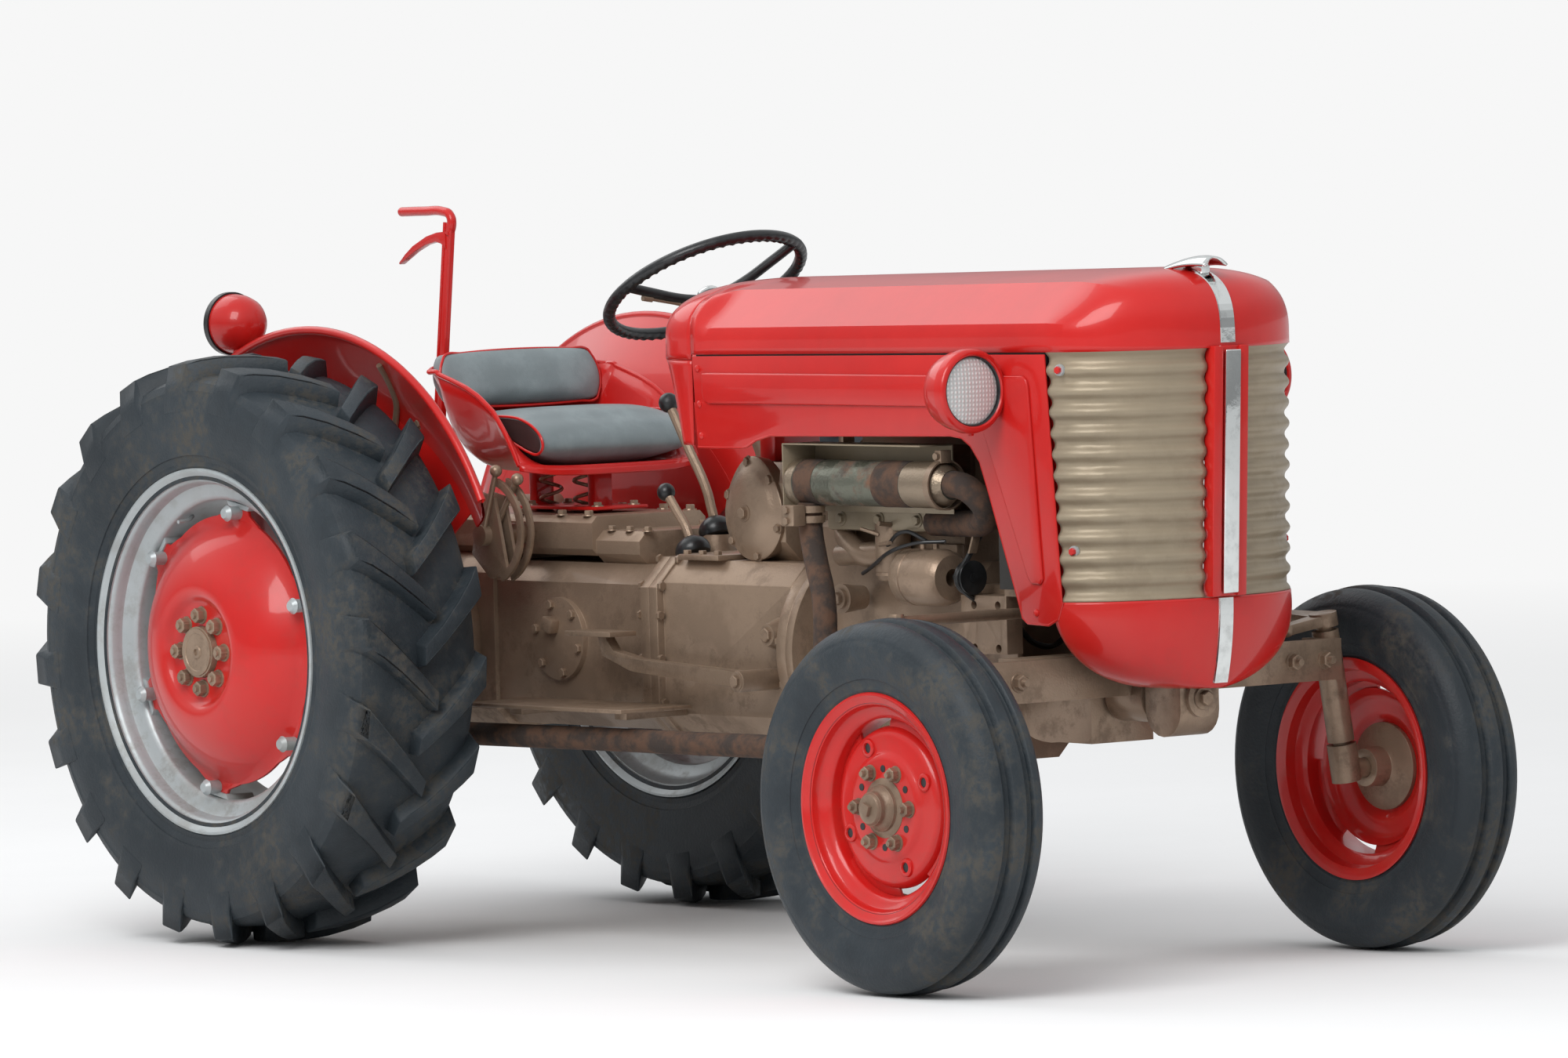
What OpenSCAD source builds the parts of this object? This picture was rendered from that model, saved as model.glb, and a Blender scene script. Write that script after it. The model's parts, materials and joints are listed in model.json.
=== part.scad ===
// Farm tractor with a hood over an open engine, a steered front axle and a rear lift linkage.
// Millimetres, +X forward, +Y left, +Z up, standing on the floor at Z = 0.

/* [Wheels] */
// Distance between the two axles
wheelbase = 2109; // [1950:1:2300]
// Distance between the middles of the front tyres
front_track = 1230; // [1200:2:1400]
// Distance between the middles of the rear tyres
rear_track = 1214; // [1200:2:1500]
// Radius of the front tyres
front_r = 365; // [350:1:380]
// Radius of the rear tyres over their lugs
rear_r = 615; // [600:1:640]
// Width of the front tyres
front_tyre_w = 165; // [150:1:175]
// Width of the rear tyres
rear_tyre_w = 315; // [300:1:325]
// Radius of the front rim flanges
front_rim_r = 223; // [215:1:230]
// Radius of the rear rim flanges
rear_rim_r = 381; // [372:1:390]
// Height of the rear tyre lugs
lug_h = 36; // [20:1:45]
// Number of lugs on each side of a rear tyre
lug_n = 20; // [16:1:24]

/* [Hood] */
// Width of the hood and its side panels
hood_w = 580; // [540:2:620]
// Height of the seam between the hood and its side panels
seam_z = 1218; // [1190:1:1250]
// Height of the hood above the seam
hood_h = 168; // [140:1:200]
// Rear end of the hood in front of the rear axle
hood_x0 = 1084; // [1050:1:1120]
// End of the straight sides in front of the rear axle
nose_x0 = 2190; // [2160:1:2220]
// Length of the rounded nose
nose_l = 209; // [190:1:230]
// Height of the lower edge of the grille
grille_z0 = 745; // [720:1:770]
// Ridges in the grille
ridges = 12; // [8:1:18]
// Width of the post in the middle of the grille
post_w = 88; // [60:2:110]
// Width of the chrome strips
strip_w = 38; // [20:2:50]
// Thickness of the sheet pieces
sheet = 5; // [3:0.5:8]

/* [Driver place] */
// Radius of the steering wheel
steer_r = 222; // [190:1:240]
// Middle of the steering wheel in front of the rear axle
steer_x = 770; // [740:1:800]
// Height of the middle of the steering wheel
steer_z = 1350; // [1320:1:1380]
// Lean of the steering column
steer_a = 29; // [20:1:35]
// Front edge of the seat in front of the rear axle
seat_x = 455; // [430:1:480]
// Width of the seat
seat_w = 470; // [440:2:500]
// Height of the seat pan's front edge
seat_z = 975; // [950:1:1000]

/* [Front axle] */
// Lean of the king pins
kpi = 9; // [6:0.5:11]
// King pin distance from the middle at hub height
kp_y = 536; // [525:1:545]
// Radius of the king pins
kp_r = 17; // [15:0.5:20]
// Length of the steering arms
arm_l = 140; // [120:1:160]
// Height of the rear axle above the middle of the front beam
beam_drop = 24; // [10:1:50]

/* [Lift] */
// Length of the lift arms
lift_l = 250; // [220:1:280]
// Length of the lower links
link_l = 770; // [700:1:820]
// Radius of the hole in the lower link ends
link_bore = 11.2; // [11:0.1:14.5]
// Height of the lower link pins
link_z = 440; // [420:1:450]

/* [Hidden] */
$fn = 48;
gap = 0.3;
run = 0.2;
fy = front_track / 2;
ry = rear_track / 2;
zf = front_r;
zr = rear_r;
hw = hood_w / 2;
eye_r = 26;
link_x = 30;
x_front = wheelbase + front_r;
x_rear = link_x - link_l - eye_r;
x_mid = (x_front + x_rear) / 2;
beam_z = zr - beam_drop;
arm_up = 76.23;
arm_s = (beam_z + arm_up - zf) / cos(kpi);
rod_up = 45;
pin_off = 16;
lift_x = -60;
lift_z = 862;
rod_x = lift_x - lift_l;
link_y = 218;
tie_z = zf + arm_s * cos(kpi) + rod_up;

red = [0.62, 0.06, 0.05];
bronze = [0.42, 0.33, 0.27];
grey = [0.45, 0.45, 0.45];
dark = [0.06, 0.06, 0.06];
chrome = [0.85, 0.85, 0.85];

module put() translate([-x_mid, 0, 0]) children();
module both() { children(); mirror([0, 1, 0]) children(); }
module cx(x, y, z, r, l, r2 = -1) translate([x, y, z]) rotate([0, 90, 0]) cylinder(r1 = r, r2 = r2 < 0 ? r : r2, h = l);
module cy(x, y, z, r, l, r2 = -1) translate([x, y, z]) rotate([-90, 0, 0]) cylinder(r1 = r, r2 = r2 < 0 ? r : r2, h = l);
module cz(x, y, z, r, l, r2 = -1) translate([x, y, z]) cylinder(r1 = r, r2 = r2 < 0 ? r : r2, h = l);
module box(x0, x1, y0, y1, z0, z1) translate([x0, y0, z0]) cube([x1 - x0, y1 - y0, z1 - z0]);
module rod(p, q, r) translate(p) rotate([0, acos((q - p)[2] / norm(q - p)), atan2((q - p)[1], (q - p)[0])])
    cylinder(r = r, h = norm(q - p));
module pipe(p, r) for (i = [0 : len(p) - 2]) {
    rod(p[i], p[i + 1], r);
    if (i > 0) translate(p[i]) sphere(r = r + 1.5);
}
module prism_x(x0, x1, pts) translate([x0, 0, 0]) rotate([90, 0, 90]) linear_extrude(x1 - x0) polygon(pts);
module prism_y(y0, y1, pts) translate([0, y1, 0]) rotate([90, 0, 0]) linear_extrude(y1 - y0) polygon(pts);
module spin_y(pts) rotate([-90, 0, 0]) rotate_extrude() polygon(pts);
function oct(w, z0, z1, c) = [[-w + c, z0], [w - c, z0], [w, z0 + c], [w, z1 - c], [w - c, z1], [-w + c, z1],
    [-w, z1 - c], [-w, z0 + c]];
function arc(x, y, r, a0, a1, n) = [for (i = [0 : n]) [x + r * cos(a0 + (a1 - a0) * i / n), y + r * sin(a0 + (a1 - a0) * i / n)]];
function flat(g) = [for (a = g) for (p = a) p];

// A closed sheet between an outer grid a and an inner grid b of the same size
module slab(a, b) {
    m = len(a);
    n = len(a[0]);
    o = m * n;
    polyhedron(concat(flat(a), flat(b)), concat(
        [for (i = [0 : m - 2]) for (j = [0 : n - 2]) [i * n + j, i * n + j + 1, (i + 1) * n + j + 1]],
        [for (i = [0 : m - 2]) for (j = [0 : n - 2]) [i * n + j, (i + 1) * n + j + 1, (i + 1) * n + j]],
        [for (i = [0 : m - 2]) for (j = [0 : n - 2]) [o + i * n + j, o + (i + 1) * n + j + 1, o + i * n + j + 1]],
        [for (i = [0 : m - 2]) for (j = [0 : n - 2]) [o + i * n + j, o + (i + 1) * n + j, o + (i + 1) * n + j + 1]],
        [for (i = [0 : m - 2]) [i * n, (i + 1) * n, o + (i + 1) * n]],
        [for (i = [0 : m - 2]) [i * n, o + (i + 1) * n, o + i * n]],
        [for (i = [0 : m - 2]) [(i + 1) * n + n - 1, i * n + n - 1, o + i * n + n - 1]],
        [for (i = [0 : m - 2]) [(i + 1) * n + n - 1, o + i * n + n - 1, o + (i + 1) * n + n - 1]],
        [for (j = [0 : n - 2]) [j + 1, j, o + j]],
        [for (j = [0 : n - 2]) [j + 1, o + j, o + j + 1]],
        [for (j = [0 : n - 2]) [(m - 1) * n + j, (m - 1) * n + j + 1, o + (m - 1) * n + j + 1]],
        [for (j = [0 : n - 2]) [(m - 1) * n + j, o + (m - 1) * n + j + 1, o + (m - 1) * n + j]]), convexity = 6);
}

// A closed solid through rings of equal length, each in a plane of its own
module loft(rings) {
    m = len(rings);
    n = len(rings[0]);
    polyhedron(flat(rings), concat(
        [for (i = [0 : m - 2]) for (j = [0 : n - 1]) [i * n + j, i * n + (j + 1) % n, (i + 1) * n + (j + 1) % n]],
        [for (i = [0 : m - 2]) for (j = [0 : n - 1]) [i * n + j, (i + 1) * n + (j + 1) % n, (i + 1) * n + j]],
        [[for (j = [n - 1 : -1 : 0]) j]], [[for (j = [0 : n - 1]) (m - 1) * n + j]]), convexity = 4);
}

// A bent tube: rounded corners, rings square to the path
function unit(v) = v / norm(v);
function soft(p, d) = concat([p[0]], [for (i = [1 : len(p) - 2]) for (t = [0 : 0.25 : 1]) let (a = p[i] + d * unit(p[i - 1] - p[i]),
    b = p[i] + d * unit(p[i + 1] - p[i])) (1 - t) * (1 - t) * a + 2 * t * (1 - t) * p[i] + t * t * b], [p[len(p) - 1]]);
function bend_dir(p, i) = unit(p[min(i + 1, len(p) - 1)] - p[max(i - 1, 0)]);
function tube_ring(c, d, up, r, n) = let (a = unit(cross(up, d)), b = cross(a, d))
    [for (k = [0 : n - 1]) c + r * (cos(360 * k / n) * a + sin(360 * k / n) * b)];
module tube(p, r, up, n = 16) loft([for (i = [0 : len(p) - 1]) tube_ring(p[i], bend_dir(p, i), up, r, n)]);
// A lever: a rod with a ball on its end, turned in one piece
module lever(p, q, r, ball) translate(p) rotate([0, acos((q - p)[2] / norm(q - p)), atan2((q - p)[1], (q - p)[0])])
    rotate_extrude() polygon(concat([[0, 0], [r, 0]], [for (t = [-90 + asin(r / ball) : 15 : 80]) [ball * cos(t), norm(q - p) + ball * sin(t)]],
        [[0, norm(q - p) + ball]]));

// Chassis castings
module transmission_case() color(bronze) put() {
    difference() {
        union() {
            prism_x(-175, 250, oct(175, zr - 185, zr + 180, 40));
            prism_x(250, 765, oct(165, zr - 175, zr + 165, 40));
            prism_x(765, 793, oct(188, zr - 188, zr + 182, 60));
            cx(-215, 0, zr - 60, 60, 40);
            cx(-300, 0, zr - 60, 17.46, 85);
            both() cy(link_x, 120, link_z, 22, 77);
            both() cy(link_x, 197, link_z, 14, 46);
            box(-345, -60, -32, 32, zr - 230, zr - 185);
            cy(470, -178, zr + 8, 86, 13);
        }
        cz(-315, 0, zr - 240, 13, 60);
    }
}

module clutch_housing() color(bronze) put() {
    prism_x(793, 820, oct(188, zr - 188, zr + 182, 60));
    prism_x(820, 1235, oct(170, zr - 182, zr + 178, 46));
    cx(1235, 0, zr, 212, 30);
}

module engine_block() color(bronze) put() {
    cx(1265, 0, zr, 212, 22);
    prism_x(1287, 1740, oct(128, zr - 55, zr + 265, 12));
    prism_x(1287, 1730, oct(140, zr - 212, zr - 55, 30));
    prism_x(1300, 1735, oct(110, zr + 265, zr + 340, 10));
    prism_x(1330, 1715, oct(76, zr + 340, zr + 425, 24));
    prism_x(1740, 1772, oct(125, zr - 60, zr + 190, 40));
}

pad_x = 1873;
pad_z = 696;
module front_bolster() color(bronze) put() difference() {
    union() {
        box(1784, 1920, -150, 150, 560, 745);
        both() box(pad_x - 76, pad_x + 63, 150, 190, pad_z - 66, 745);
        box(1784, 1932, -125, 125, 745, 762);
        box(1932, 2200, -190, 190, 745, 762);
        both() box(2110, 2170, 190, hw - sheet - gap, 745, 762);
        prism_y(-80, 80, concat([[1784, 600], [1784, 530]], arc(1930, 640, 190, -142, -82, 8), [[2055, beam_z - 140], [2055, 600]]));
        box(2035, 2055, -80, 80, 600, 653);
        box(2055, 2300, -80, 80, beam_z + 50, beam_z + 62);
        prism_y(-50, 50, concat([[2185, beam_z + 50]], arc(2237, beam_z - 70, 52, 180, 360, 10), [[2289, beam_z + 50]]));
        cx(2285, 0, beam_z - 46, 38, 15);
        cx(2055, 0, beam_z - 46, 22, 130);
    }
    box(1770, 1930, -138, 138, 604, 738);
    for (x = [-36.5, 36.5]) for (z = [-55, 30]) both() cy(pad_x + x, 130, pad_z + z, 8.5, 70);
    cz(wheelbase, 0, 735, 20 + run, 40);
    cz(wheelbase, 0, beam_z + 40, 20 + run, 40);
}

bell_r = 205;
module axle_trumpets() color(bronze) put() both() difference() {
    translate([0, 0, zr]) spin_y([[0, 175], [bell_r, 175], [bell_r, 195], [bell_r - 25, 197], [bell_r - 40, 225],
        [120, 290], [86, 330], [80, 480], [98, 484], [98, ry - 52], [0, ry - 52]]);
    cy(0, ry - 120, zr, 38 + run, 90);
    cy(link_x, 170, link_z, 70, 120);
    prism_y(199, 330, [[link_x + 40, link_z - 45], [link_x + 40, link_z + 36], [link_x + 8, link_z + 36], [link_x - 260, link_z + 116], [link_x - 260, link_z - 45]]);
}

module lift_cover() color(bronze) put() difference() {
    union() {
        prism_x(-172, 560, oct(150, zr + 180, zr + 262, 14));
        prism_x(560, 705, oct(140, zr + 165, zr + 232, 20));
        prism_y(-36, -16, [[-172, 800], [-172, 870], [-200, 875], [-228, 850], [-228, 820], [-205, 800]]);
        prism_y(16, 36, [[-172, 800], [-172, 870], [-200, 875], [-228, 850], [-228, 820], [-205, 800]]);
        both() cy(lift_x, 140, lift_z, 38, 30);
    }
    cy(-204, -60, 836, 9.7, 120);
    cy(lift_x, -200, lift_z, 24 + run, 400);
}

module control_quadrants() color(bronze) put() {
    for (k = [0, 1]) translate([360, -232 - 26 * k, 850]) rotate([90, 0, 0]) linear_extrude(8)
        polygon(concat(arc(0, 0, 112, -70, 75, 16), arc(0, 0, 96, 75, -70, 16)));
    prism_y(-240, -232, [[300, 800], [360, 750], [420, 760], [380, 920], [330, 930]]);
    prism_y(-266, -258, [[300, 800], [360, 750], [420, 760], [380, 920], [330, 930]]);
    cy(350, -284, 840, 22, 134);
    for (k = [0, 1]) lever([350, -249 - 26 * k, 840], [440 - 38 * k, -249 - 26 * k, 957 + 18 * k], 6, 13);
}

// Hood, nose and panels
function hood_sec(w, h, z, x) = concat([[x, -w, z], [x, -w, z + 0.24 * h]],
    [for (k = [0 : 16]) let (t = 180 * k / 16, c = -cos(t), s = sin(t), e = 0.72)
        [x, sign(c) * 0.98 * w * pow(abs(c), e), z + h * (0.27 + 0.73 * pow(s, e))]],
    [[x, w, z + 0.24 * h], [x, w, z]]);
function hood_top(x) = seam_z + hood_h * pow(1 - pow((x - nose_x0) / nose_l, 3.5), 1 / 3.5);
function hood_grid(t) = concat(
    [for (i = [0 : 3]) let (x = hood_x0 + (nose_x0 - hood_x0) * i / 3)
        hood_sec(hw - t, hood_h - 10 + 10 * i / 3 - t, seam_z - 8 + 8 * i / 3, x)],
    [for (i = [1 : 9]) let (f = i == 9 ? 89.7 : 90 * i / 9.2)
        hood_sec((hw - t) * cos(f), (hood_h - t) * pow(1 - pow(sin(f), 3.5), 1 / 3.5), seam_z, nose_x0 + (nose_l - t) * sin(f))]);
module hood() color(red) put() slab(hood_grid(0), hood_grid(sheet));

panel = concat([[hood_x0, seam_z - 8 - gap], [hood_x0 + 14, 1034], [1240, 1034], [1285, 1050], [1330, 1060], [1905, 1066]],
    [[1950, 1056], [1985, 1022], [2010, 960], [2095, 735], [2112, 702], [2165, 700], [2186, 720], [nose_x0, grille_z0]],
    [[nose_x0, seam_z - gap]]);
module side_panels() color(red) put() both() prism_y(hw - sheet, hw, panel);

function nose_ring(w, l, x, z, a0, a1, n) = [for (i = [0 : n]) let (f = a0 + (a1 - a0) * i / n) [x + l * cos(f), w * sin(f), z]];
gz1 = seam_z - gap;
post_a = asin((post_w / 2 + gap) / (hw - 15));
function grille_l(z) = nose_l - 25 * (gz1 - z) / (gz1 - grille_z0);
function grille_grid(t, s) = [for (k = [0 : ridges * 2]) let (z = grille_z0 + (gz1 - grille_z0) * k / (ridges * 2),
    d = t > 0 ? t : (k % 2 == 0 ? 0 : 9)) nose_ring(s * (hw - d), grille_l(z) - d, nose_x0 + gap, z, post_a, 90, 10)];
module grille_panels() color(bronze) put() {
    slab(grille_grid(15, -1), grille_grid(0, -1));
    slab(grille_grid(0, 1), grille_grid(15, 1));
}
module post_bar(y, a, b) prism_y(-y, y, [[nose_x0 + nose_l + b, gz1], [nose_x0 + nose_l - 25 + b, grille_z0], [nose_x0 + nose_l - 25 + a, grille_z0],
    [nose_x0 + nose_l + a, gz1]]);
module grille_post() color(red) put() post_bar(post_w / 2, -24, 12);
strip_x = [for (f = [48 : 6 : 84]) nose_x0 + nose_l * sin(f)];
module chrome_trim() color(chrome) put() {
    post_bar(strip_w / 2, 12 + gap, 18);
    prism_y(-strip_w / 2, strip_w / 2, concat([for (x = strip_x) [x + 0.5, hood_top(x) + 0.5]], [[nose_x0 + nose_l + gap, gz1 + 1], [nose_x0 + nose_l + 5, gz1 + 1]],
        [for (i = [len(strip_x) - 1 : -1 : 0]) [strip_x[i] + 4, hood_top(strip_x[i]) + 4]]));
    prism_y(-11, 11, concat([for (x = [nose_x0 + 70 : 14 : nose_x0 + 140]) [x, hood_top(x) + gap]],
        [[nose_x0 + 176, hood_h + seam_z + 6], [nose_x0 + 184, hood_h + seam_z + 16], [nose_x0 + 168, hood_h + seam_z + 22], [nose_x0 + 110, hood_h + seam_z + 14]]));
}

function low_row(d, t) = let (w = (hw - t) * pow(1 - pow(d, 2.4), 1 / 2.4), x = nose_x0 + 40 * d,
    l = nose_l - 25 - 27 * d * d - 40 * d - t, z = grille_z0 - gap - (181 - t) * d)
    [for (i = [0 : 14]) let (f = -90 + 180 * i / 14) [x + l * cos(f), w * sin(f), z]];
function low_grid(t) = [for (d = [0.985, 0.93, 0.85, 0.7, 0.5, 0.25, 0]) low_row(d, t)];
module lower_nose() color(red) put() slab(low_grid(0), low_grid(sheet));

cowl_l = 122;
module dash_cowl() color(red) put() {
    loft([for (i = [0 : 5]) let (f = 18 * i) hood_sec(hw - 1 - 40 * (1 - cos(90 - f)), hood_h - 11 - 34 * (1 - cos(90 - f)), seam_z - 8,
        hood_x0 - gap - cowl_l * sin(90 - f))]);
    box(hood_x0 - 74, hood_x0 - 24, -60, 60, zr + 378, seam_z - 8);
    both() prism_y(hw - 9 - sheet, hw - 9, [[hood_x0 - cowl_l + 40, seam_z - 8], [hood_x0 - cowl_l + 44, 1090], [hood_x0 - 34, 1036], [hood_x0 - gap, 1034],
        [hood_x0 - gap, seam_z - 8]]);
}

rad_z1 = seam_z - 28;
module radiator() color(dark) put() {
    box(1975, 2035, -225, 225, 800, rad_z1 - 60);
    prism_x(1968, 2042, [for (p = oct(232, rad_z1 - 60, rad_z1, 20)) p]);
    box(1968, 2042, -232, 232, 762, 800);
    both() box(1968, 2042, 225, 232, 800, rad_z1 - 60);
    cx(1925, 90, rad_z1 - 30, 24, 43);
}

// Engine fittings
module engine_fittings() color(bronze) put() {
    cx(1598, -195, 780, 62, 182);
    cx(1780, -195, 780, 32, 14);
    box(1640, 1740, -150, -128, 752, 808);
    cz(1560, 176, 600, 45, 190);
    box(1530, 1590, 128, 150, 700, 760);
    cx(1287 + gap, 185, 690, 46, 180);
    cz(1640, 171, 820, 40, 90);
    box(1620, 1660, 128, 150, 830, 860);
    cx(1735, 0, 930, 30, 127);
    cx(1862, 0, 930, 44, 12);
    for (a = [0 : 60 : 300]) translate([1868, 0, 930]) rotate([a, 0, 0]) rotate([0, 0, 28]) translate([-2, -28, 30]) cube([4, 56, 122]);
}

module muffler() color([0.35, 0.3, 0.26]) put() {
    cx(1330, -262, 965, 46, 480);
    pipe([[1720, -160, 914], [1800, -172, 914], [1875, -215, 918], [1898, -248, 942], [1870, -262, 965], [1800, -262, 965]], 26);
}
man_z = 914;
man_r = 32;
module manifold() color(bronze) put() {
    cx(1385, -160, man_z, man_r, 335 - gap);
    for (x = [1420, 1500, 1600, 1685]) box(x - 24, x + 24, -160, -110, man_z - 24, man_z + 24);
    box(1530, 1590, -185, -135, man_z - man_r, man_z);
}
module exhaust_pipe() color([0.3, 0.24, 0.2]) put()
    tube(soft([[1420, -262, 918.7], [1420, -262, 870], [1505, -300, 735], [1512, -310, 520], [1420, -315, 437], [330, -315, 430]], 38), 24, [0, 1, 0]);
module fuel_tank() color(bronze) put() {
    prism_x(1125, 1730, oct(205, 1092, seam_z + 72, 30));
    for (x = [1304, 1718]) both() box(x, x + 14, 60, 90, zr + 340 + gap, 1093);
}
module heat_shield() color([0.5, 0.44, 0.38]) put() {
    box(1370, 1800, -285, -140, 1022, 1027);
    for (x = [1400, 1680]) box(x, x + 30, -165, -155, man_z + 32, 1022);
}
module carburettor() color(bronze) put() {
    cz(1560, -165, 785, 36, man_z - man_r - gap - 785);
    rod([1560, -165, 825], [1400, -170, 815], 22);
}

// Steering
module steering_box() color(bronze) put() {
    difference() {
        union() {
            prism_x(985, 1150, oct(110, zr + 178, zr + 378, 40));
            translate([steer_x, 0, steer_z]) rotate([0, 180 - steer_a, 0]) translate([0, 0, 60]) cylinder(r = 24, h = 420);
            cy(pit_x, 100, pit_z, 40, 70);
        }
        cy(pit_x, 90, pit_z, 16 + run, 100);
        translate([steer_x, 0, steer_z]) rotate([0, 180 - steer_a, 0]) translate([0, 0, 50]) cylinder(r = 11 + run, h = 90);
    }
}
module steering_wheel() color(dark) put() translate([steer_x, 0, steer_z]) rotate([0, -steer_a, 0]) {
    rotate_extrude() translate([steer_r - 13, 0]) circle(r = 13);
    for (a = [33, 153, 273]) rotate([0, 0, a]) rotate([0, 90, 0]) cylinder(r = 7, h = steer_r - 13);
    translate([0, 0, -30]) cylinder(r = 34, h = 50);
    translate([0, 0, -120]) cylinder(r = 11, h = 95);
}
pit_x = 1075;
pit_z = 880;
pit_l = 185;
module pitman_arm() color(bronze) put() {
    cy(pit_x, 110, pit_z, 16, 105);
    cy(pit_x, 176, pit_z, 30, 34);
    prism_y(186, 208, [[pit_x - 24, pit_z], [pit_x + 24, pit_z], [pit_x + 17, pit_z - pit_l], [pit_x - 17, pit_z - pit_l]]);
    cy(pit_x, 186, pit_z - pit_l, 17, 22);
    cy(pit_x, 200, pit_z - pit_l, 7, 66);
}

module kp_frame(s) translate([wheelbase, s * kp_y, zf]) rotate([s * kpi, 0, 0]) children();
module knuckle(s) kp_frame(s) difference() {
    union() {
        translate([0, 0, -24]) cylinder(r = 30, h = 76);
        translate([0, 0, 50]) cylinder(r = kp_r, h = 245);
        translate([0, 0, arm_s - 14]) cylinder(r = 28, h = 28);
        rotate([-s * kpi, 0, 0]) cy(0, s > 0 ? 0 : -150, 0, 20, 150);
        translate([0, 0, arm_s - 10]) linear_extrude(20) polygon([[0, -24], [0, 24], [-arm_l, s * pin_off + 15], [-arm_l, s * pin_off - 15]]);
        translate([-arm_l, s * pin_off, arm_s - 10]) cylinder(r = 17, h = 20);
        if (s > 0) translate([0, 0, arm_s - 10]) linear_extrude(20) polygon([[-22, 0], [22, 0], [15, -100], [-15, -100]]);
        if (s > 0) translate([0, -100, arm_s - 10]) cylinder(r = 17, h = 20);
    }
    translate([-arm_l, s * pin_off, arm_s - 20]) cylinder(r = 8 + run, h = 40);
    if (s > 0) translate([0, -100, arm_s - 20]) cylinder(r = 8 + run, h = 40);
}
module knuckle_left() color(bronze) put() knuckle(1);
module knuckle_right() color(bronze) put() knuckle(-1);

module front_axle() color(bronze) put() {
    difference() {
        union() {
            box(2075, 2143, -330, 330, beam_z - 43, beam_z + 43);
            both() box(2143, 2165, 100, kp_y - 52, beam_z - 41, beam_z + 41);
            both() box(2090, 2143, kp_y - 90, kp_y - 42, beam_z - 41, beam_z + 41);
            cx(2066, 0, beam_z - 46, 52, 108);
        }
        cx(2050, 0, beam_z - 46, 22 + run, 150);
        for (s = [-1, 1]) kp_frame(s) translate([0, 0, 40]) cylinder(r = 27, h = 300);
    }
    for (s = [-1, 1]) kp_frame(s) difference() {
        translate([0, 0, 58]) cylinder(r = 27, h = arm_s - 80);
        translate([0, 0, 40]) cylinder(r = kp_r + run, h = 300);
    }
}

module tie_rod(s) {
    kp_frame(s) translate([-arm_l, s * pin_off, arm_s - 14]) cylinder(r = 8, h = rod_up + 14);
    e = kp_y - (arm_s + rod_up) * sin(kpi) + pin_off * cos(kpi);
    cy(wheelbase - arm_l, s > 0 ? pin_off + 12 : -e, tie_z, 11, e - pin_off - 12);
    cz(wheelbase - arm_l, s * e, tie_z - 15, 15, 30);
    cz(wheelbase - arm_l, s * pin_off, tie_z - 15, 14, 30);
    cz(wheelbase - arm_l, s * pin_off, tie_z - 75, 6, 65);
}
module tie_rod_left() color(bronze) put() tie_rod(1);
module tie_rod_right() color(bronze) put() tie_rod(-1);

module center_arm() color(bronze) put() {
    difference() {
        union() {
            cz(wheelbase, 0, beam_z + 50, 20, 170);
            cz(wheelbase, 0, tie_z - rod_up - 12, 34, 24);
            translate([wheelbase, 0, tie_z - rod_up - 10]) linear_extrude(20) polygon([[0, -26], [0, 26], [-arm_l, 32], [-arm_l - 18, 24],
                [-arm_l - 18, -24], [-arm_l, -32]]);
        }
        for (s = [-1, 1]) cz(wheelbase - arm_l, s * pin_off, tie_z - rod_up - 20, 8, 40);
    }
}

drag_up = 112;
drag_q = [wheelbase, kp_y - (arm_s + drag_up) * sin(kpi) - 100 * cos(kpi), zf + (arm_s + drag_up) * cos(kpi) - 100 * sin(kpi)];
drag_p = [pit_x, 226, pit_z - pit_l + 5];
module drag_link() color(bronze) put() difference() {
    union() {
        kp_frame(1) translate([0, -100, arm_s - 14]) cylinder(r = 8, h = drag_up + 14);
        rod(drag_q, drag_p, 12);
        translate(drag_q - [0, 0, 15]) cylinder(r = 16, h = 30);
        cy(drag_p[0], drag_p[1] - 10, drag_p[2], 29, 20);
    }
    cy(drag_p[0], drag_p[1] - 20, drag_p[2], 20, 40);
}

// Controls and driver place
module shift_levers() color(dark) put() {
    lever([775, 20, zr + 185.7], [640, 20, 1100], 8, 21);
    lever([779, -70, zr + 187.6], [652, -70, 915], 7, 19);
}
module pedals() color(bronze) put() {
    both() cy(1185, 170, 560, 22, 105);
    prism_y(-268, -244, [[1185, 545], [1185, 580], [860, 596], [770, 612], [745, 640], [722, 640], [735, 600], [830, 570]]);
    box(640, 790, -290, -220, 640, 650);
    prism_y(244, 268, [[1185, 545], [1185, 580], [860, 596], [770, 612], [745, 640], [722, 640], [735, 600], [830, 570]]);
    box(640, 790, 220, 290, 640, 650);
}
module foot_rests() color(bronze) put() both() {
    box(400, 930, 190, 375, 492, 500);
    box(500, 540, 165, 330, 476, 492);
    box(850, 890, 170, 330, 476, 492);
}

back_x = seat_x - 385;
back_z = seat_z + 212;
module seat_pan() color(red) put() {
    box(seat_x - 335, seat_x, -seat_w / 2 + 20, seat_w / 2 - 20, seat_z - 14, seat_z - 8);
    prism_y(-seat_w / 2 + 20, seat_w / 2 - 20, [[back_x + 58, seat_z - 14], [back_x + 42, seat_z - 14], [back_x - 8, back_z - 2], [back_x, back_z]]);
    both() prism_y(seat_w / 2 - 20, seat_w / 2, [[seat_x, seat_z - 14], [seat_x, seat_z], [seat_x - 125, seat_z + 115], [seat_x - 235, seat_z + 175],
        [back_x, back_z], [back_x - 8, back_z - 2], [back_x + 42, seat_z - 14]]);
    box(180, 420, -60, 60, zr + 262, seat_z - 14);
}
module seat_cushion() color(grey) put() box(seat_x - 305, seat_x - 8, -seat_w / 2 + 24, seat_w / 2 - 24, seat_z - 8 + gap, seat_z + 75);
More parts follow.
